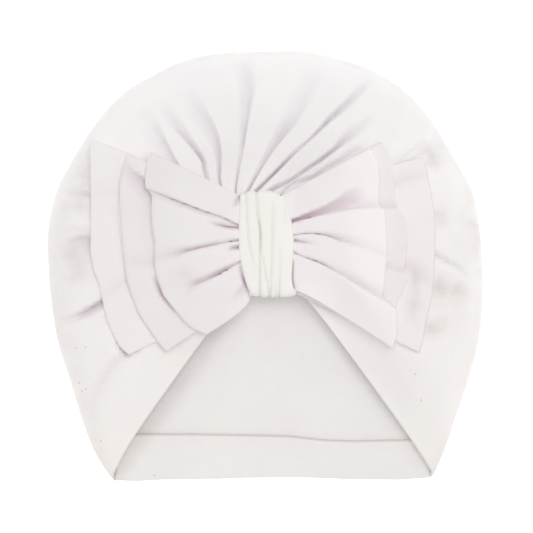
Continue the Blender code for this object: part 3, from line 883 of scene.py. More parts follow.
# The back's fine wrinkles, inside the cap
BACK_WRINKLES = (
    fold((209, 400, 0, 1.5, 1.5), (219, 397, -0.5, 1.2, 1.2), (232, 395, -0.4, 1.2, 1.2),
         (246, 395, 0, 2, 2)),
    fold((268, 337, 0, 3, 3), (282, 338, -0.25, 2.5, 2.5), (300, 337, 0, 3, 3)),
    fold((190, 405, 0, 3, 3), (225, 409, -0.25, 3, 3), (262, 408, 0, 3, 3)),
)
# The turned back hem's free edge, and its folded lower edge, in pixels
HEM_TOP = (
    (105, 435), (138, 434), (190, 434), (250, 435), (290, 436), (325, 440), (355, 441), (409, 440),
    (445, 439),
)
HEM_FOOT = (
    (111, 479), (135, 480), (160, 478.5), (205, 478), (250, 476.5), (300, 476), (350, 478), (400, 478.5),
    (434, 476),
)


@dataclass
class Crown:
    """The one-piece jersey cap: gathered front, rounded rim, flat back and turned hems.

    Lengths are millimetres. Rows, columns and steps are counts, and shares and powers are plain
    numbers.
    """

    cap: CapForm = CAP
    columns: int = 540
    rows: int = 78
    row_crowding: float = 0.65
    row_power: float = 1.35
    column_length: float = 60.0
    rim_fade: float = 8.0
    left_bend: float = 4.1
    right_bend: float = 1.8
    bend_fade_degrees: float = 35.0
    rumple: Rumple = Rumple(0.14, 15.0, 3)
    # Painted shade in the front's hollows, per mm of their depth
    dimple_shade: float = 1.9
    back_columns: int = 300
    side_columns: int = 100
    bulge_start: float = 0.2
    wave_share: float = 0.25
    cloth: float = 0.9
    hem_cloth: float = 1.7
    hem_width: float = 16.5
    hem_step: float = 0.4
    step_width: float = 1.4
    edge_round: float = 1.1
    front_floor: float = 3.0
    tuck_share: float = 1.5
    tuck_steps: int = 6
    corner_tuck: float = 0.1
    corner_fade_degrees: float = 14.0
    back_hem_round: float = 1.0
    back_hem_rows: int = 24
    back_hem_power: float = 0.8
    back_hem_narrowing: tuple[float, float, float] = (0.0, 0.012, 0.03)
    back_hem_rumple: Rumple = Rumple(0.16, 9.0, 11)
    fold_steps: int = 6
    hem_edge_start: float = 0.7
    hem_edge_lift: float = 0.5
    # Painted shade: a dark line at the back hem's free edge, an even shade over the inside, and shade
    # beside the slanting hems in the mouth
    hem_edge_shade: float = 5.8
    inside_shade: float = 1.0
    mouth_line_fade: float = 1.2
    mouth_shade: float = 3.3
    mouth_reach: float = 7.5

    def build_front(self) -> Piece:
        """Makes the cap's front, from the knot to where its rim meets the table.

        Returns:
            The front's object.
        """
        angles = read_table(COLUMN_ANGLES, np.linspace(0, 1, self.columns))[0]
        front, deep, hollow = self._front(angles)
        tuck = self._tuck(angles)
        skin = np.concatenate([front, tuck])
        # Painted shade: none from folds on the tuck, which takes the rim's soft shade
        deep = np.concatenate([deep, np.zeros(tuck.shape[:2])])
        soft_shade = np.concatenate([hollow, np.repeat(hollow[-1:], len(tuck), axis=0)])
        piece = cloth_object("crown_front_cloth", skin, skin[..., :2], deep, soft_shade, capped=True)
        self._give_walls(piece)
        return piece

    def build_back(self) -> Piece:
        """Makes the cap's flat back with its turned hem.

        Returns:
            The back's object.
        """
        angles = np.linspace(SEAT[0][0], SEAT[-1][0], self.back_columns)
        back = self._back(self._tuck(angles)[-1])
        hem = self._back_hem(back[0])
        points = np.concatenate([hem[:0:-1], back])
        # Painted shade: a dark line along the hem's free edge, and soft shade over the inside
        deep = np.zeros(points.shape[:2])
        deep[:2] = self.hem_edge_shade
        uv = np.stack([points[..., 0], run_length(points)], axis=-1)
        soft_shade = self._inside_shade(points[..., 0], points[..., 1])
        piece = cloth_object("crown_back_cloth", points, uv, deep, soft_shade)
        give_wall(piece, self.cloth, -1.0)
        return piece

    def _front(self, angles: Array) -> tuple[Array, Array, Array]:
        """The front's grid, from the seat's edge to the rim.

        Each column is a straight line from its seat point to its rim point, bowed sideways by
        1 - (1 - 2s)^4 near the hems. Heights are the cap's form with its creases, dimples and
        rumples, which fade out towards the rim.

        Args:
            angles: Rim angle of each column.

        Returns:
            Rows of points, how deep in a fold each is, and how deep in a hollow.
        """
        seat_x, seat_y = read_table(SEAT, angles)
        rim_x, rim_y = self.cap.rim_point(angles)
        right = np.clip(1 - (angles - angles[0]) / self.bend_fade_degrees, 0, 1) ** 2
        left = np.clip(1 - (angles[-1] - angles) / self.bend_fade_degrees, 0, 1) ** 2
        bend = self.right_bend * right - self.left_bend * left
        share = np.linspace(0, 1, self.rows + 1)[:, None]
        crowded = 1 - (1 - share) ** self.row_power
        share = (1 - self.row_crowding) * share + self.row_crowding * crowded
        x = seat_x + share * (rim_x - seat_x) + bend * (1 - (1 - 2 * share) ** 4)
        y = seat_y + share * (rim_y - seat_y)
        edge = np.minimum(np.abs(1 - share) * self.column_length, self.rim_fade) / self.rim_fade
        hollow = dimpled(x, y, DIMPLES) * edge
        z = self.cap.height(x, y) + hollow + self.rumple.change(x, y) * edge
        z = z + self._hem_relief(x, y)
        moved, deep = creased(np.stack([x, y, z], axis=-1), GATHERS + SIDE_FOLDS, ease(edge))
        # Painted shade along the rim and in the hollows
        inset = self.cap.rim_radius(angles) - np.hypot(x, y)
        rim_shade, reach = read_table(RIM_SHADE, angles)
        rim_shade = rim_shade * (1 - ease(inset / reach))
        return moved, deep, np.maximum(-hollow, 0) * self.dimple_shade + rim_shade

    def _hem_share(self, x: Array, y: Array) -> Array:
        """1 over the turned front hem's width, easing to 0 over its step's width."""
        away, _ = self.cap.hem_distance(x, y)
        return 1 - ease((away - self.hem_width) / self.step_width)

    def _hem_relief(self, x: Array, y: Array) -> Array:
        """The turned front hem shows on the outside as a low step, and its edge is rounded."""
        away, _ = self.cap.hem_distance(x, y)
        low = y < self.cap.knot_y
        drop = self.edge_round * (1 - quarter_round(away / self.edge_round))
        return self.hem_step * self._hem_share(x, y) * low - drop * low

    def _tuck(self, angles: Array) -> Array:
        """The rim's rounding below its widest line: a quarter ellipse that ends on the table.

        Args:
            angles: Rim angle of each column.

        Returns:
            The grid's points, in rows from the rim down.
        """
        x, y = self.cap.rim_point(angles)
        high = self.cap.rim_height(angles)
        toward = np.stack([-x, -np.maximum(y, 0.0)], axis=-1)
        toward = toward / np.linalg.norm(toward, axis=-1, keepdims=True)
        turn = np.linspace(0, math.pi / 2, self.tuck_steps + 1)[1:, None]
        from_corner = np.minimum(angles - SEAT[0][0], SEAT[-1][0] - angles) / self.corner_fade_degrees
        share = self.corner_tuck + (self.tuck_share - self.corner_tuck) * ease(from_corner)
        step = share * high * (1 - np.cos(turn))
        z = high * (1 - np.sin(turn))
        return np.stack([x + step * toward[:, 0], y + step * toward[:, 1], z], axis=-1)

    def _back(self, contact: Array) -> Array:
        """The flat back inside the line where the rim meets the table.

        Rows run across from one side to the other, and bulge into the shape of the top. The lowest
        share of them takes on the wave of the folded lower edge.

        Args:
            contact: The line's points, from the right hem round to the left one.

        Returns:
            The grid's points, in rows from the hem up.
        """
        sides = self.side_columns
        top = contact[sides : len(contact) - sides]
        across = np.linspace(0, 1, len(top))[None, :, None]
        right, left = contact[: sides + 1, None], contact[::-1][: sides + 1, None]
        height = (right[..., 1:2] - contact[0, 1]) / (top[0, 1] - contact[0, 1])
        bulge = top - (top[0] + across[0] * (top[-1] - top[0]))
        grown = ease((height - self.bulge_start) / (1 - self.bulge_start))
        points = right + across * (left - right) + bulge[None] * grown
        raised, _ = creased(points, BACK_WRINKLES)
        points[1:-1, 1:-1, 2] = raised[1:-1, 1:-1, 2]
        wave = read_table(PHOTO.place(HEM_FOOT), points[0, :, 0])[0] - points[0, :, 1]
        fade = 1 - ease(np.linspace(0, 1 / self.wave_share, sides + 1))
        points[:, 1:-1, 1] += fade[:, None] * wave[None, 1:-1]
        return points

    def _inside_shade(self, x: Array, y: Array) -> Array:
        """Painted shade on the back inside the cap: most beside the slanting hems, over the mouth's reach.

        Args:
            x: Places in mm.
            y: Places in mm.

        Returns:
            The painted shade, as a depth in mm.
        """
        away, _ = self.cap.hem_distance(x, y)
        inside = np.maximum(-away, 0.0)
        broad, line = read_table(MOUTH_SIDES, x)
        soft_shade = self.inside_shade + line * np.exp(-inside / self.mouth_line_fade)
        return soft_shade + self.mouth_shade * broad * (1 - ease(inside / self.mouth_reach))

    def _back_hem(self, foot: Array) -> Array:
        """The back's lower edge, turned up inside as a hem.

        The cloth goes round a half circle at its foot and then up to the hem's free edge. It lies
        on the back, puckers fully from half its height up, and lifts a little before its end.

        Args:
            foot: The back's lowest row of points.

        Returns:
            The grid's points, its first row being the foot.
        """
        free_y = read_table(PHOTO.place(HEM_TOP), foot[:, 0])[0]
        turn = np.linspace(0, math.pi, self.fold_steps + 1)[:, None]
        radius = self.back_hem_round
        round_y = foot[:, 1] - radius * np.sin(turn)
        round_z = radius * (1 - np.cos(turn)) + 0 * foot[:, 0]
        share = np.linspace(0, 1, self.back_hem_rows + 1)[1:, None] ** self.back_hem_power
        up_y = foot[:, 1] + share * (free_y - foot[:, 1])
        pucker = self.back_hem_rumple.change(foot[None, :, 0] + 0 * share, up_y) * ease(share * 2)
        lift = self.hem_edge_lift * ease((share - self.hem_edge_start) / (1 - self.hem_edge_start))
        y = np.concatenate([round_y, up_y])
        z = np.concatenate([round_z, 2 * radius + pucker + lift])
        knots = (0, self.fold_steps, len(y) - 1)
        narrowed = np.interp(np.arange(len(y)), knots, self.back_hem_narrowing)[:, None]
        return np.stack([foot[None, :, 0] * (1 - narrowed) + 0 * y, y, z], axis=-1)

    def _give_walls(self, piece: Piece) -> None:
        """A thin wall everywhere, and a double one along the slanting front hems."""
        places = np.empty(len(piece.data.vertices) * 3)
        piece.data.vertices.foreach_get("co", places)
        x, y, z = places.reshape(-1, 3).T / MM
        double = self._hem_share(x, y) * ((z > self.front_floor) & (y < self.cap.knot_y))
        plain = self.cloth / self.hem_cloth
        weights = (plain + (1 - plain) * double).round(2)
        group = piece.vertex_groups.new(name="hem")
        for level in np.unique(weights):
            group.add(np.flatnonzero(weights == level).tolist(), float(level), "REPLACE")
        give_wall(piece, self.hem_cloth, -1.0).vertex_group = group.name


# The bow


class Plies(NamedTuple):
    """Heights of a loop's two plies over the bow's bed, in mm.

    They are given at the waist, on the wings, and at the lower long edge, which lies lowest.
    """

    waist_low: float
    waist_high: float
    wing_low: float
    wing_high: float
    foot_low: float
    foot_high: float


@dataclass
class Wing:
    """One half of a flattened loop.

    Attributes:
        side: Which way it points.
        end: The photograph's pixels along its folded end, from the top down.
        creases: The pleats in its upper ply.
        dimples: Soft hollows in its upper ply.
        end_shade: How dark the painted shade makes the fold's own edge, as a depth in mm.
        foot_lift: How far the lower long edge is drawn up near the knot, in mm.
    """

    side: Side
    end: tuple[tuple[float, float], ...]
    creases: tuple[Crease, ...] = ()
    dimples: tuple[Dimple, ...] = ()
    end_shade: float = 0.0
    foot_lift: float = 0.0


# Where the wings come out from under the band, in the photograph's pixels from the top down
WAIST = {
    Side.LEFT: ((240.6, 196), (240, 210), (239.6, 225), (239.6, 240), (240.6, 252), (241.8, 262),
        (244, 270), (247.2, 281), (251.2, 295)),
    Side.RIGHT: ((281.5, 196), (285.3, 205), (288.6, 214), (291, 223), (292.4, 233), (293, 244),
        (292.3, 256), (291.2, 268), (290.8, 279), (292.4, 291.5)),
}


class WingLines(NamedTuple):
    """The straight lines that a wing's rows follow, from the waist to the folded end.

    Attributes:
        waist: Where each starts, x and y in mm.
        end: Where each ends.
        lift: How far each is drawn up near the knot, in mm.
    """

    waist: Array
    end: Array
    lift: Array

    @property
    def length(self) -> Array:
        """Each line's length."""
        return np.linalg.norm(self.end - self.waist, axis=-1)

    @property
    def foot(self) -> Array:
        """The two ends of the lower long edge, one a row."""
        return np.stack([self.waist[-1], self.end[-1]])

    def place(self, share: Array) -> tuple[Array, Array]:
        """x and y at shares s of the way out, raised by 4 lift t(1 - t) with t = sqrt(s)."""
        place = self.waist[None] + share[..., None] * (self.end - self.waist)[None]
        root = np.sqrt(share)
        return place[..., 0], place[..., 1] + self.lift * 4 * root * (1 - root)


@dataclass
class BowLayer:
    """One flattened loop of the bow, pinched at the waist by the band.

    Attributes:
        name: The piece's name.
        node: The solid that it stands for.
        finish: Its cloth's finish.
        plies: Its heights.
        edge_gap: How far apart the middles of its two plies lie just inside the folded ends, in mm.
        seed: Picks its rumples.
        wings: Its two halves, the left one first.
    """

    name: str
    node: str
    finish: JerseyFinish
    plies: Plies
    edge_gap: float
    seed: int
    wings: tuple[Wing, Wing]
    cap: CapForm = CAP
    cloth: float = 0.85
    rows: int = 96
    upper_steps: int = 84
    upper_power: float = 0.9
    nose_steps: int = 6
    lower_steps: int = 30
    waist_half_width: float = 12.6
    spread_run: float = 40.0
    bed_edge: float = 9.0
    edge_round: float = 1.2
    lower_fade: float = 4.0
    taper: float = 17.0
    high_power: float = 3.0
    foot_reach: float = 24.0
    # Painted shade: in the upper ply's hollows, and a thin dark line at the fold's edge
    dimple_shade: float = 1.8
    end_line: float = 0.7
    end_relief: float = 0.35
    rumple_height: float = 0.16
    rumple_length: float = 12.0
    ply_clearance: float = 0.25

    def build(self) -> Piece:
        """Makes the loop: both wings as one ring of cloth, open along its two long edges.

        Returns:
            The loop's object.
        """
        left, right = (self._wing(wing) for wing in self.wings)
        ring, deep, soft_shade = (np.concatenate([one, other[::-1]]) for one, other in zip(left, right))
        uv = np.stack([ring[..., 1], run_length(ring)], axis=-1)
        piece = cloth_object(self.name, ring, uv, deep, soft_shade, closed=True)
        give_wall(piece, self.cloth, 0.0)
        return piece

    def _heights(self, x: Array, y: Array, foot: Array) -> tuple[Array, Array]:
        """Heights of the lower and upper ply.

        They are the cap's form and the plies' own height, which grows along the wing and comes
        down again towards the lower long edge, fully so from half the run outwards.

        Args:
            x: Places in mm.
            y: Places in mm.
            foot: The two ends of the lower long edge, one a row.

        Returns:
            The heights in mm.
        """
        out = np.clip((np.abs(x - self.cap.knot_x) - self.waist_half_width) / self.spread_run, 0, 1)
        bed, plies = self.cap.height(x, y, self.bed_edge), self.plies
        low = bed + plies.waist_low + (1 - (1 - out) ** 2) * (plies.wing_low - plies.waist_low)
        spread = 1 - (1 - out) ** self.high_power
        high = bed + plies.waist_high + spread * (plies.wing_high - plies.waist_high)
        along = (foot[1] - foot[0]) / np.linalg.norm(foot[1] - foot[0])
        inset = np.abs((x - foot[0, 0]) * along[1] - (y - foot[0, 1]) * along[0])
        near = (1 - ease(inset / self.foot_reach)) * ease(2 * out)
        return low + near * (bed + plies.foot_low - low), high + near * (bed + plies.foot_high - high)

    def _wing(self, wing: Wing) -> tuple[Array, Array, Array]:
        """Points of one wing, out along the upper ply, round the folded end and back below.

        Every row is a straight line from the waist to the end. Towards the end the upper ply comes
        down to the lower one, and both meet in a small round edge.

        Args:
            wing: The half to make.

        Returns:
            Steps around by rows from top to foot by x, y, z, and the painted fold shade and painted soft
            shade of each, as depths in mm.
        """
        v = np.linspace(0, 1, self.rows)
        root = PHOTO.place(WAIST[wing.side])
        waist_y = root[0, 1] + v * (root[-1, 1] - root[0, 1])
        waist = np.stack([np.interp(-waist_y, -root[:, 1], root[:, 0]), waist_y], axis=-1)
        lines = WingLines(waist, along_line(PHOTO.place(wing.end), v), wing.foot_lift * v**4)
        upper, deep, hollow = self._upper(lines, wing)
        lower = self._lower(lines, wing)
        plain = np.zeros(lower.shape[:2])
        pairs = ((upper, lower), (deep, plain), (hollow, plain))
        return tuple(np.concatenate(pair) for pair in pairs)

    def _upper(self, lines: WingLines, wing: Wing) -> tuple[Array, Array, Array]:
        """The upper ply with its pleats, which fade to a share at the folded end.

        Args:
            lines: The wing's straight lines.
            wing: The half that they belong to.

        Returns:
            Steps outwards by rows by x, y, z, and the painted fold shade and painted soft shade of each,
            as depths in mm.
        """
        reach = np.linspace(0, 1, self.upper_steps)[:, None] ** self.upper_power
        share = reach + 0 * lines.length[None]
        x, y = lines.place(share)
        low, high = self._heights(x, y, lines.foot)
        inset = (1 - share) * lines.length
        body = ease(inset / self.taper)
        edge = self.edge_gap * (0.5 + 0.5 * quarter_round(inset / self.edge_round))
        hollow = dimpled(x, y, wing.dimples)
        relief = hollow + Rumple(self.rumple_height, self.rumple_length, self.seed).change(x, y)
        pleated, deep = creased(np.stack([x, y, np.zeros_like(x)], axis=-1), wing.creases)
        z = low + edge + (high - low - self.edge_gap) * body
        z = z + (pleated[..., 2] + relief) * (self.end_relief + (1 - self.end_relief) * body)
        z = np.maximum(z, low + np.minimum(edge, self.cloth + self.ply_clearance))
        # Painted shade: a thin dark line at the fold's edge, and soft shade in the hollows
        deep = deep + wing.end_shade * (1 - ease(inset / self.end_line))
        soft_shade = np.maximum(-hollow, 0) * self.dimple_shade
        return np.stack([pleated[..., 0], pleated[..., 1], z], axis=-1), deep, soft_shade

    def _lower(self, lines: WingLines, wing: Wing) -> Array:
        """The plain lower ply, from the nose of the fold back to the waist.

        Args:
            lines: The wing's straight lines.
            wing: The half that they belong to.

        Returns:
            Steps inwards by rows by x, y, z.
        """
        turn = 1 - np.cos(np.linspace(0, math.pi / 2, self.nose_steps))
        near = 1 - (self.edge_round / lines.length) * turn[:, None]
        back = near[-1] * np.linspace(1, 0, self.lower_steps)[1:, None]
        share = np.concatenate([near[1:], back])
        x, y = lines.place(share)
        low, _ = self._heights(x, y, lines.foot)
        inset = (1 - share) * lines.length
        z = low + 0.5 * self.edge_gap * (1 - quarter_round(inset / self.edge_round))
        fade = 1 - ease(inset / self.lower_fade)
        crossing, _ = creased(np.stack([x, y, z], axis=-1), wing.creases, fade)
        return np.stack([crossing[..., 0], crossing[..., 1], z], axis=-1)


# Where a depth is more than the ply can fall, the rest only deepens the painted shade; the short deep
# dashes and gaps beside the band are mostly painted dark gaps
FRONT_LEFT_PLEATS = (
    fold((248, 227, 7, 1.6, 0.7), (238, 223, 7, 2, 0.7), (222, 216.8, 2.8, 3, 0.7),
         (205, 210.5, 4.2, 3.6, 0.7), (188, 204, 4.2, 4, 0.7), (168, 196.5, 3.8, 4, 0.8),
         (150, 190, 3.2, 4, 0.9), (140, 186.4, 3.2, 4, 1), lip=Lip.RIGHT, overlap=1.3),
    fold((246, 228, 9, 1.2, 1), (238, 227.4, 12, 1.4, 1), (228, 226.6, 14, 1.6, 1.2),
         (218, 224.8, 4.5, 1.6, 1.4), (207, 222, 0, 2, 2)),
    fold((246, 240.6, 8, 0.8, 1.4), (238, 241, 7.5, 0.8, 1.6), (225, 242.5, 3, 0.9, 2),
         (212, 245.5, 5.5, 0.9, 2.2), (203, 247.4, 6.5, 1, 2.2), (193, 249.8, 7, 1.1, 2.4),
         (182, 252.2, 4.6, 1.6, 3.2), (171, 254.6, 2.4, 3, 4), (157, 257, 1.2, 4, 5), (146, 259, 1, 4, 5),
         lip=Lip.LEFT, overlap=0.4),
    fold((247, 246.5, 12, 1.3, 1.2), (237, 247.6, 12, 1.5, 1.3), (228, 248.6, 0, 1.8, 1.6)),
    fold((248, 257.5, 2.4, 0.8, 1.4), (240, 262, 2.6, 0.8, 1.5), (232, 266.6, 6, 0.9, 2),
         (226, 270.6, 12.5, 1, 2.4), (216, 275.6, 10, 1.1, 2.8), (206, 279.6, 5.6, 1.4, 3),
         (197, 282.5, 4.4, 2, 3.2), (190.5, 287, 2, 3, 4), (186, 297, 0, 4, 5), lip=Lip.LEFT,
         overlap=0.6),
    fold((239.5, 264, 0, 1.2, 1.2), (242, 273, 8, 1.3, 1.6), (244.6, 282, 14, 2, 1.4),
         (248, 292, 8, 1.4, 1.3), (251, 300, 5, 1.6, 1.4)),
    fold((250, 286, 5, 2.4, 2.4), (242, 290, 3, 3, 2.6), (235, 299, 1.2, 4, 3), (230, 306, 0, 4, 4)),
    fold((246, 190, 6, 1.6, 1.6), (238, 199.5, 5, 1.8, 1.5), (234, 209, 0, 2, 2)),
)
# As on the left, depth beyond what the ply can fall only deepens the painted shade of the dashes and gaps
# beside the band
FRONT_RIGHT_PLEATS = (
    fold((278, 226, 9, 1, 1), (291, 221.8, 13, 1.3, 1.2), (303, 218, 11, 1.7, 1.3),
         (318, 213.2, 8, 2.3, 1.8), (329, 209.6, 6.6, 3, 2.4), (340, 205.6, 5.4, 4, 3),
         (351, 202, 3.6, 6, 4), (366, 199, 0, 7, 5), lip=Lip.BOTH, lip_power=2.6),
    fold((298, 222, 0, 0.9, 0.7), (306, 219.4, 9, 1.2, 0.7), (318, 216.4, 7, 1.6, 0.7),
         (330, 213, 4, 3, 0.8), (344, 210.2, 3.6, 5, 0.8), (356, 208.6, 3, 5.5, 0.9),
         (368, 207.8, 2.8, 5.5, 1), (380, 208, 2.2, 5.5, 1), (392, 208.4, 2.2, 5.5, 1), lip=Lip.RIGHT,
         overlap=0.6),
    fold((286, 236, 2.4, 0.9, 0.8), (293, 235.4, 3.4, 0.9, 0.8), (301, 234.2, 5, 0.9, 0.8),
         (313, 233.9, 6.5, 1.2, 0.8), (323, 235, 5.2, 1.6, 0.9), (332, 237.6, 4.6, 2.8, 1),
         (343, 241.4, 3.2, 4.2, 1.2), (353, 244.2, 2.2, 4.8, 1.5), (366, 248, 1.3, 5, 2.4),
         (380, 252.5, 0.9, 5, 3), (392, 256, 0.9, 5, 3), lip=Lip.RIGHT, overlap=0.4),
    fold((286, 240.6, 11, 1.2, 1.1), (294, 241, 13, 1.3, 1.1), (302, 242.2, 5.5, 1.3, 1.1),
         (311, 243.6, 1.4, 1.8, 1.8), (320, 245, 0, 2, 2)),
    fold((286, 250, 5, 1.6, 0.8), (294, 253, 3.6, 1.3, 0.8), (303, 256.6, 2.2, 1.1, 0.8),
         (313, 260.2, 5.4, 1.4, 0.9), (320.5, 263.2, 5.4, 1.6, 1), (328, 267, 3.6, 2, 1.1),
         (336, 271.6, 2.6, 2.4, 1.2), (346, 277, 2.4, 3.6, 1.8), (357, 283.5, 2.6, 4.6, 2.2),
         (370, 291.5, 2.6, 5.5, 1.8), (381, 298.5, 2.6, 6, 1.4), (394, 307, 2.6, 6, 1.4), lip=Lip.RIGHT,
         overlap=0.3),
    fold((291.5, 258, 0, 1.1, 1.1), (292, 266, 7, 1.2, 1.3), (291.6, 276, 10, 1.3, 1.4),
         (292.6, 286, 12, 1.4, 1.5), (295, 296, 11, 1.5, 1.5)),
)
BACK_LEFT_WING = Wing(
    Side.LEFT,
    end=((94, 140), (91.7, 146), (92, 175), (92.5, 202), (92, 252), (95, 268), (101, 285), (104, 300),
         (108, 318), (115, 335), (122, 347), (130, 354)),
    creases=(
        # This shallow crease mostly paints soft shade beside the middle loop's end
        fold((126, 158, 0, 1, 3), (121, 176, 1.1, 1, 5), (118.5, 205, 1.1, 1, 6), (120, 230, 1.4, 1, 5),
             (124, 262, 1, 1, 4), (130, 290, 0.6, 1, 3), (140, 315, 0, 1, 3)),
        fold((160, 262, 1, 6, 5), (120, 285, 1.2, 7, 6), (100, 296, 0.8, 7, 6)),
        fold((170, 205, 0.8, 8, 6), (120, 196, 0.9, 8, 7), (90, 190, 0.4, 8, 8)),
    ),
)
BACK_RIGHT_WING = Wing(
    Side.RIGHT,
    end=((421.7, 157.5), (425, 168), (429, 188), (433, 210), (434, 230), (433.5, 255), (432.5, 280),
         (431, 293), (428, 308), (424.5, 324), (421.7, 340), (418, 352)),
    creases=(
        fold((380, 190, 1.2, 6, 5), (410, 178, 1.4, 7, 6), (430, 172, 0.6, 7, 6)),
        fold((390, 262, 1.4, 6, 5), (414, 272, 1.6, 7, 5), (434, 284, 1, 7, 6)),
    ),
    dimples=(Dimple(414, 301, 1.7, 4, 9), Dimple(415, 272, 1, 3, 8), Dimple(414, 240, -0.6, 4, 12)),
    end_shade=3.4,
)
MIDDLE_LEFT_WING = Wing(
    Side.LEFT,
    end=((128, 155), (125, 167), (121.7, 185), (121.3, 202), (122.5, 218), (124, 238), (125.8, 260),
         (128, 278), (133, 295), (140, 312), (150, 328), (158, 340), (167, 351)),
    creases=(
        fold((175, 202, 6, 9, 1), (158, 190, 6.5, 10, 0.9), (148, 181, 6, 10, 0.8),
             (138, 174.5, 4.6, 8, 0.8), (131, 169, 2.6, 6, 0.9), (126, 158, 0.4, 4, 1), overlap=0.5),
        fold((151, 178, -0.8, 1.1, 1.1), (140, 171.5, -0.8, 1.2, 1.2), (133, 165, -0.8, 1.2, 1.2),
             (129, 158, 0, 1.2, 1.2)),
        # These two mostly paint shade outside the front loop's end: a broad soft band, then a narrow dark
        # gap
        fold((150, 190, 0, 1.5, 8), (151, 210, 1.3, 1.5, 9), (152, 230, 1.3, 1.5, 8),
             (154, 250, 1.3, 1, 8), (156, 268, 0.6, 1, 6), (162, 292, 0, 1, 4)),
        fold((154, 275, 0, 1.6, 1.6), (158, 285, 8, 1.7, 1.7), (162.5, 294.5, 10, 1.8, 1.8),
             (169, 303, 6, 1.6, 1.6), (177, 312, 0, 1.4, 1.4)),
        fold((165, 262, 1.2, 5, 4), (145, 262, 1.4, 5, 4), (133, 262, 0.9, 5, 5), (120, 262, 0.6, 5, 5)),
    ),
)
MIDDLE_RIGHT_WING = Wing(
    Side.RIGHT,
    end=((381, 142), (386.7, 150), (390, 158), (391, 173), (393, 193), (395, 206.7), (403, 216.7),
         (406.7, 226.7), (405.8, 246.7), (404, 256.7), (401.7, 273), (407, 278), (403, 288), (397, 298),
         (390, 318), (386, 338)),
    creases=(
        fold((350, 214, 1.6, 5, 1.2), (380, 209, 2, 5, 1.2), (410, 207, 2, 5, 1.2), overlap=0.4),
        fold((370, 262, 1.4, 4, 2), (392, 269, 2, 4, 1.6), (412, 275, 1.8, 4, 1.6)),
    ),
)
FRONT_LEFT_WING = Wing(
    Side.LEFT,
    end=((151.5, 152.5), (148.5, 166), (146.7, 180), (147.5, 187), (153.5, 196), (153, 212), (154, 228),
         (156.5, 243), (156, 265), (158.5, 277), (165, 295), (175, 308), (185, 320), (193, 327.5),
         (207.5, 334)),
    creases=FRONT_LEFT_PLEATS,
    dimples=(Dimple(185, 276, 0.8, 5, 4), Dimple(221, 299, 0.5, 6, 5)),
    foot_lift=-3,
)
FRONT_RIGHT_WING = Wing(
    Side.RIGHT,
    end=((369, 149), (372, 155), (376.7, 163), (378, 180), (377.5, 197), (378, 205), (383.5, 211),
         (385, 230), (385.8, 247), (385.8, 258), (384, 272), (383, 285), (382, 297), (394, 308),
         (395.8, 323), (395, 338), (391.7, 347.5)),
    creases=FRONT_RIGHT_PLEATS,
    end_shade=3.5,
    foot_lift=2.2,
)
BOW = (
    BowLayer(
        "bow_back_loop", "bow_back_layer", BOW_FINISH, Plies(0.9, 2.3, 1.5, 4.2, 1.0, 2.1),
        edge_gap=1.05, seed=21, wings=(BACK_LEFT_WING, BACK_RIGHT_WING),
    ),
    BowLayer(
        "bow_middle_loop", "bow_middle_layer", BOW_MIDDLE_SHADED_FINISH, Plies(3.7, 5.1, 5.7, 8.4, 3.3, 4.5),
        edge_gap=1.15, seed=22, wings=(MIDDLE_LEFT_WING, MIDDLE_RIGHT_WING),
    ),
    BowLayer(
        "bow_front_loop", "bow_front_layer", BOW_FRONT_LIT_FINISH, Plies(6.5, 10.0, 9.9, 15.6, 5.7, 8.4),
        edge_gap=2.4, seed=23, wings=(FRONT_LEFT_WING, FRONT_RIGHT_WING),
    ),
)


# The knot

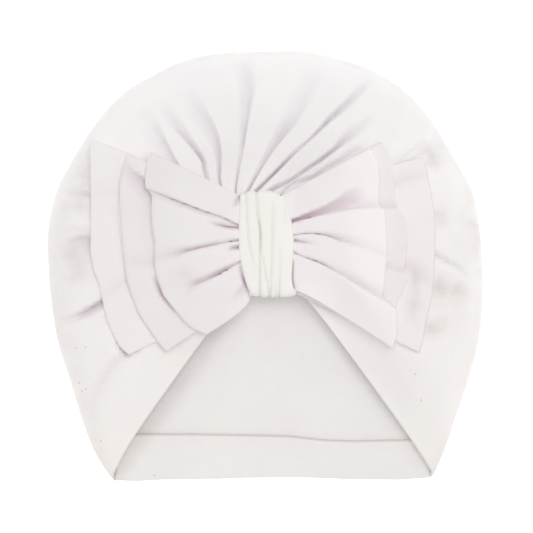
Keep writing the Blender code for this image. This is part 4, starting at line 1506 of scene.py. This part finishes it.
# Pixel row along the strip, height in mm, and the pixel columns of its two edges. The strip starts
# tucked in above the bow, comes over it and goes round the crown's apex.
KNOT_ROWS = (
    (193, 12.9, 243, 281), (192.6, 17.5, 242, 280), (193, 20.8, 241, 279), (196, 22.6, 240.6, 281),
    (203, 22.9, 240.2, 284.6), (212, 23, 239.7, 288.4), (222, 23.1, 239.2, 291.2),
    (232, 23.2, 239, 292.8), (244, 23.2, 239.2, 293.5), (256, 23.2, 240.2, 292.8),
    (268, 23.1, 242.6, 291.8), (279, 23, 245.4, 291.4), (288, 22.7, 248.2, 293),
    (293.5, 21.2, 250.4, 295.8), (295.6, 18, 251.2, 296), (295.6, 14, 251.6, 294.6),
    (294.2, 10.4, 251.6, 293), (287, 8.6, 251, 291), (265, 8.6, 248, 289), (237, 8.6, 246, 287),
    (211, 8.6, 246, 287),
)
KNOT_PLEATS = (
    fold((245.3, 190, 0.9, 1.4, 1.2), (246.2, 210, 1, 1.5, 1.2), (246.6, 224, 1, 1.5, 1.1),
         (247.5, 238, 1.1, 1.6, 1.1), (249.8, 251, 1, 1.6, 1.3), (252, 262, 0.5, 1.5, 1.5),
         (255, 275, 0, 1.5, 1.5), slope_power=1.2),
    fold((256.2, 190, 1, 1.6, 1.3), (257.1, 214, 1.4, 1.6, 1), (259.2, 225, 2.5, 1.3, 1),
         (260.3, 237, 2.9, 1.2, 1), (260, 247, 2.2, 1.2, 1), (259.8, 260, 1.5, 1.2, 1),
         (259.4, 274, 1.6, 1.2, 1), (259.8, 298, 1.6, 1.2, 1), slope_power=1.2),
    fold((261.6, 250, 0, 0.8, 0.8), (262.3, 257, 0.8, 0.9, 0.8), (264.4, 268, 1.1, 1, 0.8),
         (266.2, 280, 1.2, 0.9, 0.8), (268, 289, 1.2, 0.8, 0.8), (268.4, 298, 1, 0.8, 0.8),
         slope_power=1.2),
    fold((272, 200, 0, 2.2, 2), (272.5, 214, 0.9, 2, 1.5), (272.1, 228, 1.1, 1.8, 1.3),
         (271.6, 247, 1.1, 1.5, 1.2), (271.2, 269, 1.2, 1.2, 1), (270.6, 283, 1.3, 1, 0.9),
         (270.4, 298, 1.3, 0.9, 0.9), slope_power=1.2),
    fold((279.9, 246, 0, 1.5, 1.5), (279.8, 257, 0.6, 1.3, 1.2), (279.6, 274, 1, 1.2, 1),
         (278.9, 290, 1.5, 1.2, 0.9), (278.8, 298, 1.5, 1.2, 0.9), slope_power=1.2),
    fold((286.5, 196, 0, 2, 2), (285.2, 206, 0.5, 1.8, 1.5), (284.8, 216, 0.6, 2, 1.8),
         (285, 228, 0, 2, 2), slope_power=1.2),
    fold((274.8, 276, 0, 1, 1), (274.9, 286, 0.6, 0.9, 0.9), (274.6, 298, 0.9, 0.9, 0.9),
         slope_power=1.2),
)


@dataclass
class KnotBand:
    """The pleated strip round the bow's waist; lengths are millimetres."""

    cloth: float = 0.9
    wall_offset: float = -0.4
    columns: int = 72
    steps: int = 12
    bulge: float = 1.3
    sink: float = 0.5
    over_start: float = 13.0
    over_rise: float = 6.0
    edge_curl: float = 0.9
    edge_width: float = 1.6
    rumple: Rumple = Rumple(0.05, 5.0, 31)
    shade_gain: float = 1.8

    def build(self) -> Piece:
        """Makes the strip.

        Its cross-lines run between the two edges. Each bulges by 4s(1 - s), and the pleats press
        in along the strip's own normal.

        Returns:
            The strip's object.
        """
        row, height, left, right = np.array(KNOT_ROWS).T
        table = np.stack([PHOTO.up(row), height, PHOTO.across(left), PHOTO.across(right)], axis=1)
        y, z, left, right = smooth_rows(table, self.steps).T[:, :, None]
        s = np.linspace(0, 1, self.columns)[None]
        along_y, along_z = np.gradient(y[:, 0]), np.gradient(z[:, 0])
        long = np.hypot(along_y, along_z)[:, None]
        normal_y, normal_z = along_z[:, None] / long, -along_y[:, None] / long
        x = left + s * (right - left)
        over = ease((z - self.over_start) / self.over_rise)
        pressed, deep = creased(np.stack([x, y + 0 * x, 0 * x], axis=-1), KNOT_PLEATS)
        edge = np.minimum(s, 1 - s) * (right - left)
        curl = -self.edge_curl * (1 - quarter_round(edge / self.edge_width))
        out = (self.bulge * 4 * s * (1 - s) - self.sink + pressed[..., 2] + curl) * over
        out = out + self.rumple.change(x, y + 0 * x) * over
        points = np.stack([x, y + out * normal_y, z + out * normal_z], axis=-1)
        uv = np.stack([x, np.cumsum(long[:, 0])[:, None] + 0 * x], axis=-1)
        # Painted shade in the band's pleats
        piece = cloth_object("knot_strip", points, uv, deep * over * self.shade_gain, 0 * deep)
        give_wall(piece, self.cloth, self.wall_offset)
        return piece


# The studio


@dataclass
class Studio:
    """A white table under a large soft light from the photograph's upper right.

    Lengths are metres unless the name says otherwise.
    """

    table_size: float = 6.0
    table_z: float = -0.0002
    table_colour: Colour = (0.93, 0.93, 0.93)
    table_roughness: float = 0.9
    table_glow: float = 0.6
    camera_height: float = 3.0
    target_z: float = 0.012
    sensor_mm: float = 36.0
    camera_reach: float = 20.0
    key_power: float = 74.0
    key_place: tuple[float, float, float] = (0.7, 0.85, 4.7)
    key_size: float = 2.4
    key_colour: Colour = (1.0, 0.985, 0.965)
    sky_strength: float = 0.62
    sky_colour: Colour = (1.0, 0.985, 0.985)

    def build(self) -> None:
        """Makes the table, the lights and the camera."""
        self._table()
        self._sky()
        self._key()
        self._camera()
        bpy.context.scene.view_settings.view_transform = "Standard"

    def _table(self) -> None:
        """A large plain white sheet that the cap lies on."""
        bpy.ops.mesh.primitive_plane_add(size=self.table_size, location=(0, 0, self.table_z))
        table = bpy.context.object
        table.name = "table"
        values = {"Base Color": (*self.table_colour, 1), "Roughness": self.table_roughness}
        values.update({"Emission Color": (1, 1, 1, 1), "Emission Strength": self.table_glow})
        table.data.materials.append(NodeBoard("table_white").surface(values))

    def _sky(self) -> None:
        """An even dome of faintly pink light, which tints the folds' shade."""
        world = bpy.data.worlds.new("dome")
        world.use_nodes = True
        background = world.node_tree.nodes["Background"]
        background.inputs["Color"].default_value = (*self.sky_colour, 1)
        background.inputs["Strength"].default_value = self.sky_strength
        bpy.context.scene.world = world

    def _key(self) -> None:
        """A large square lamp, aimed at the knot."""
        lamp = bpy.data.lights.new("key", "AREA")
        lamp.energy = self.key_power
        lamp.size = self.key_size
        lamp.color = self.key_colour
        key = bpy.data.objects.new("key", lamp)
        key.location = self.key_place
        aim = Vector((0, 0, self.target_z)) - key.location
        key.rotation_euler = aim.to_track_quat("-Z", "Y").to_euler()
        bpy.context.scene.collection.objects.link(key)

    def _camera(self) -> None:
        """A long lens straight above, framed as the photograph is.

        The lens is the sensor's width times the distance over the width seen at the rim.
        """
        seen = PHOTO.width * PHOTO.pixel_mm * MM
        lens = bpy.data.cameras.new("camera")
        lens.sensor_width = self.sensor_mm
        lens.lens = lens.sensor_width * (self.camera_height - self.target_z) / seen
        lens.clip_end = self.camera_reach
        camera = bpy.data.objects.new("camera", lens)
        middle = PHOTO.width / 2
        camera.location = (PHOTO.across(middle) * MM, PHOTO.up(middle) * MM, self.camera_height)
        bpy.context.scene.collection.objects.link(camera)
        bpy.context.scene.camera = camera


def dress(piece: Piece, material: bpy.types.Material, nodes: Sequence[str]) -> None:
    """Gives a piece its finish and its place in the frame.

    Args:
        piece: The cloth piece.
        material: Its finish.
        nodes: The solids that it stands for.
    """
    piece.data.materials.append(material)
    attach(piece, "root")
    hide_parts(*nodes)
    log.info("%s: %d faces", piece.name, len(piece.data.polygons))


def main() -> None:
    """Builds the pieces in order from the cap outwards, then the studio, and notes the sizes."""
    logging.basicConfig(level=logging.INFO, format="%(name)s: %(message)s")
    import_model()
    crown = Crown()
    front, back = crown.build_front(), crown.build_back()
    for panel, finish in ((front, CROWN_FINISH), (back, CROWN_INSIDE_FINISH)):
        dress(panel, finish.material(), ["crown"])
    for layer, flat in zip(BOW, ((0.30, 0.09), (0.25, 0.085), (0.22, 0.085))):
        loop = layer.build()
        dress(loop, layer.finish.material(), [layer.node])
    band = KnotBand().build()
    dress(band, BAND_FINISH.material(), ["knot_band"])
    Studio().build()


if __name__ == "__main__":
    main()
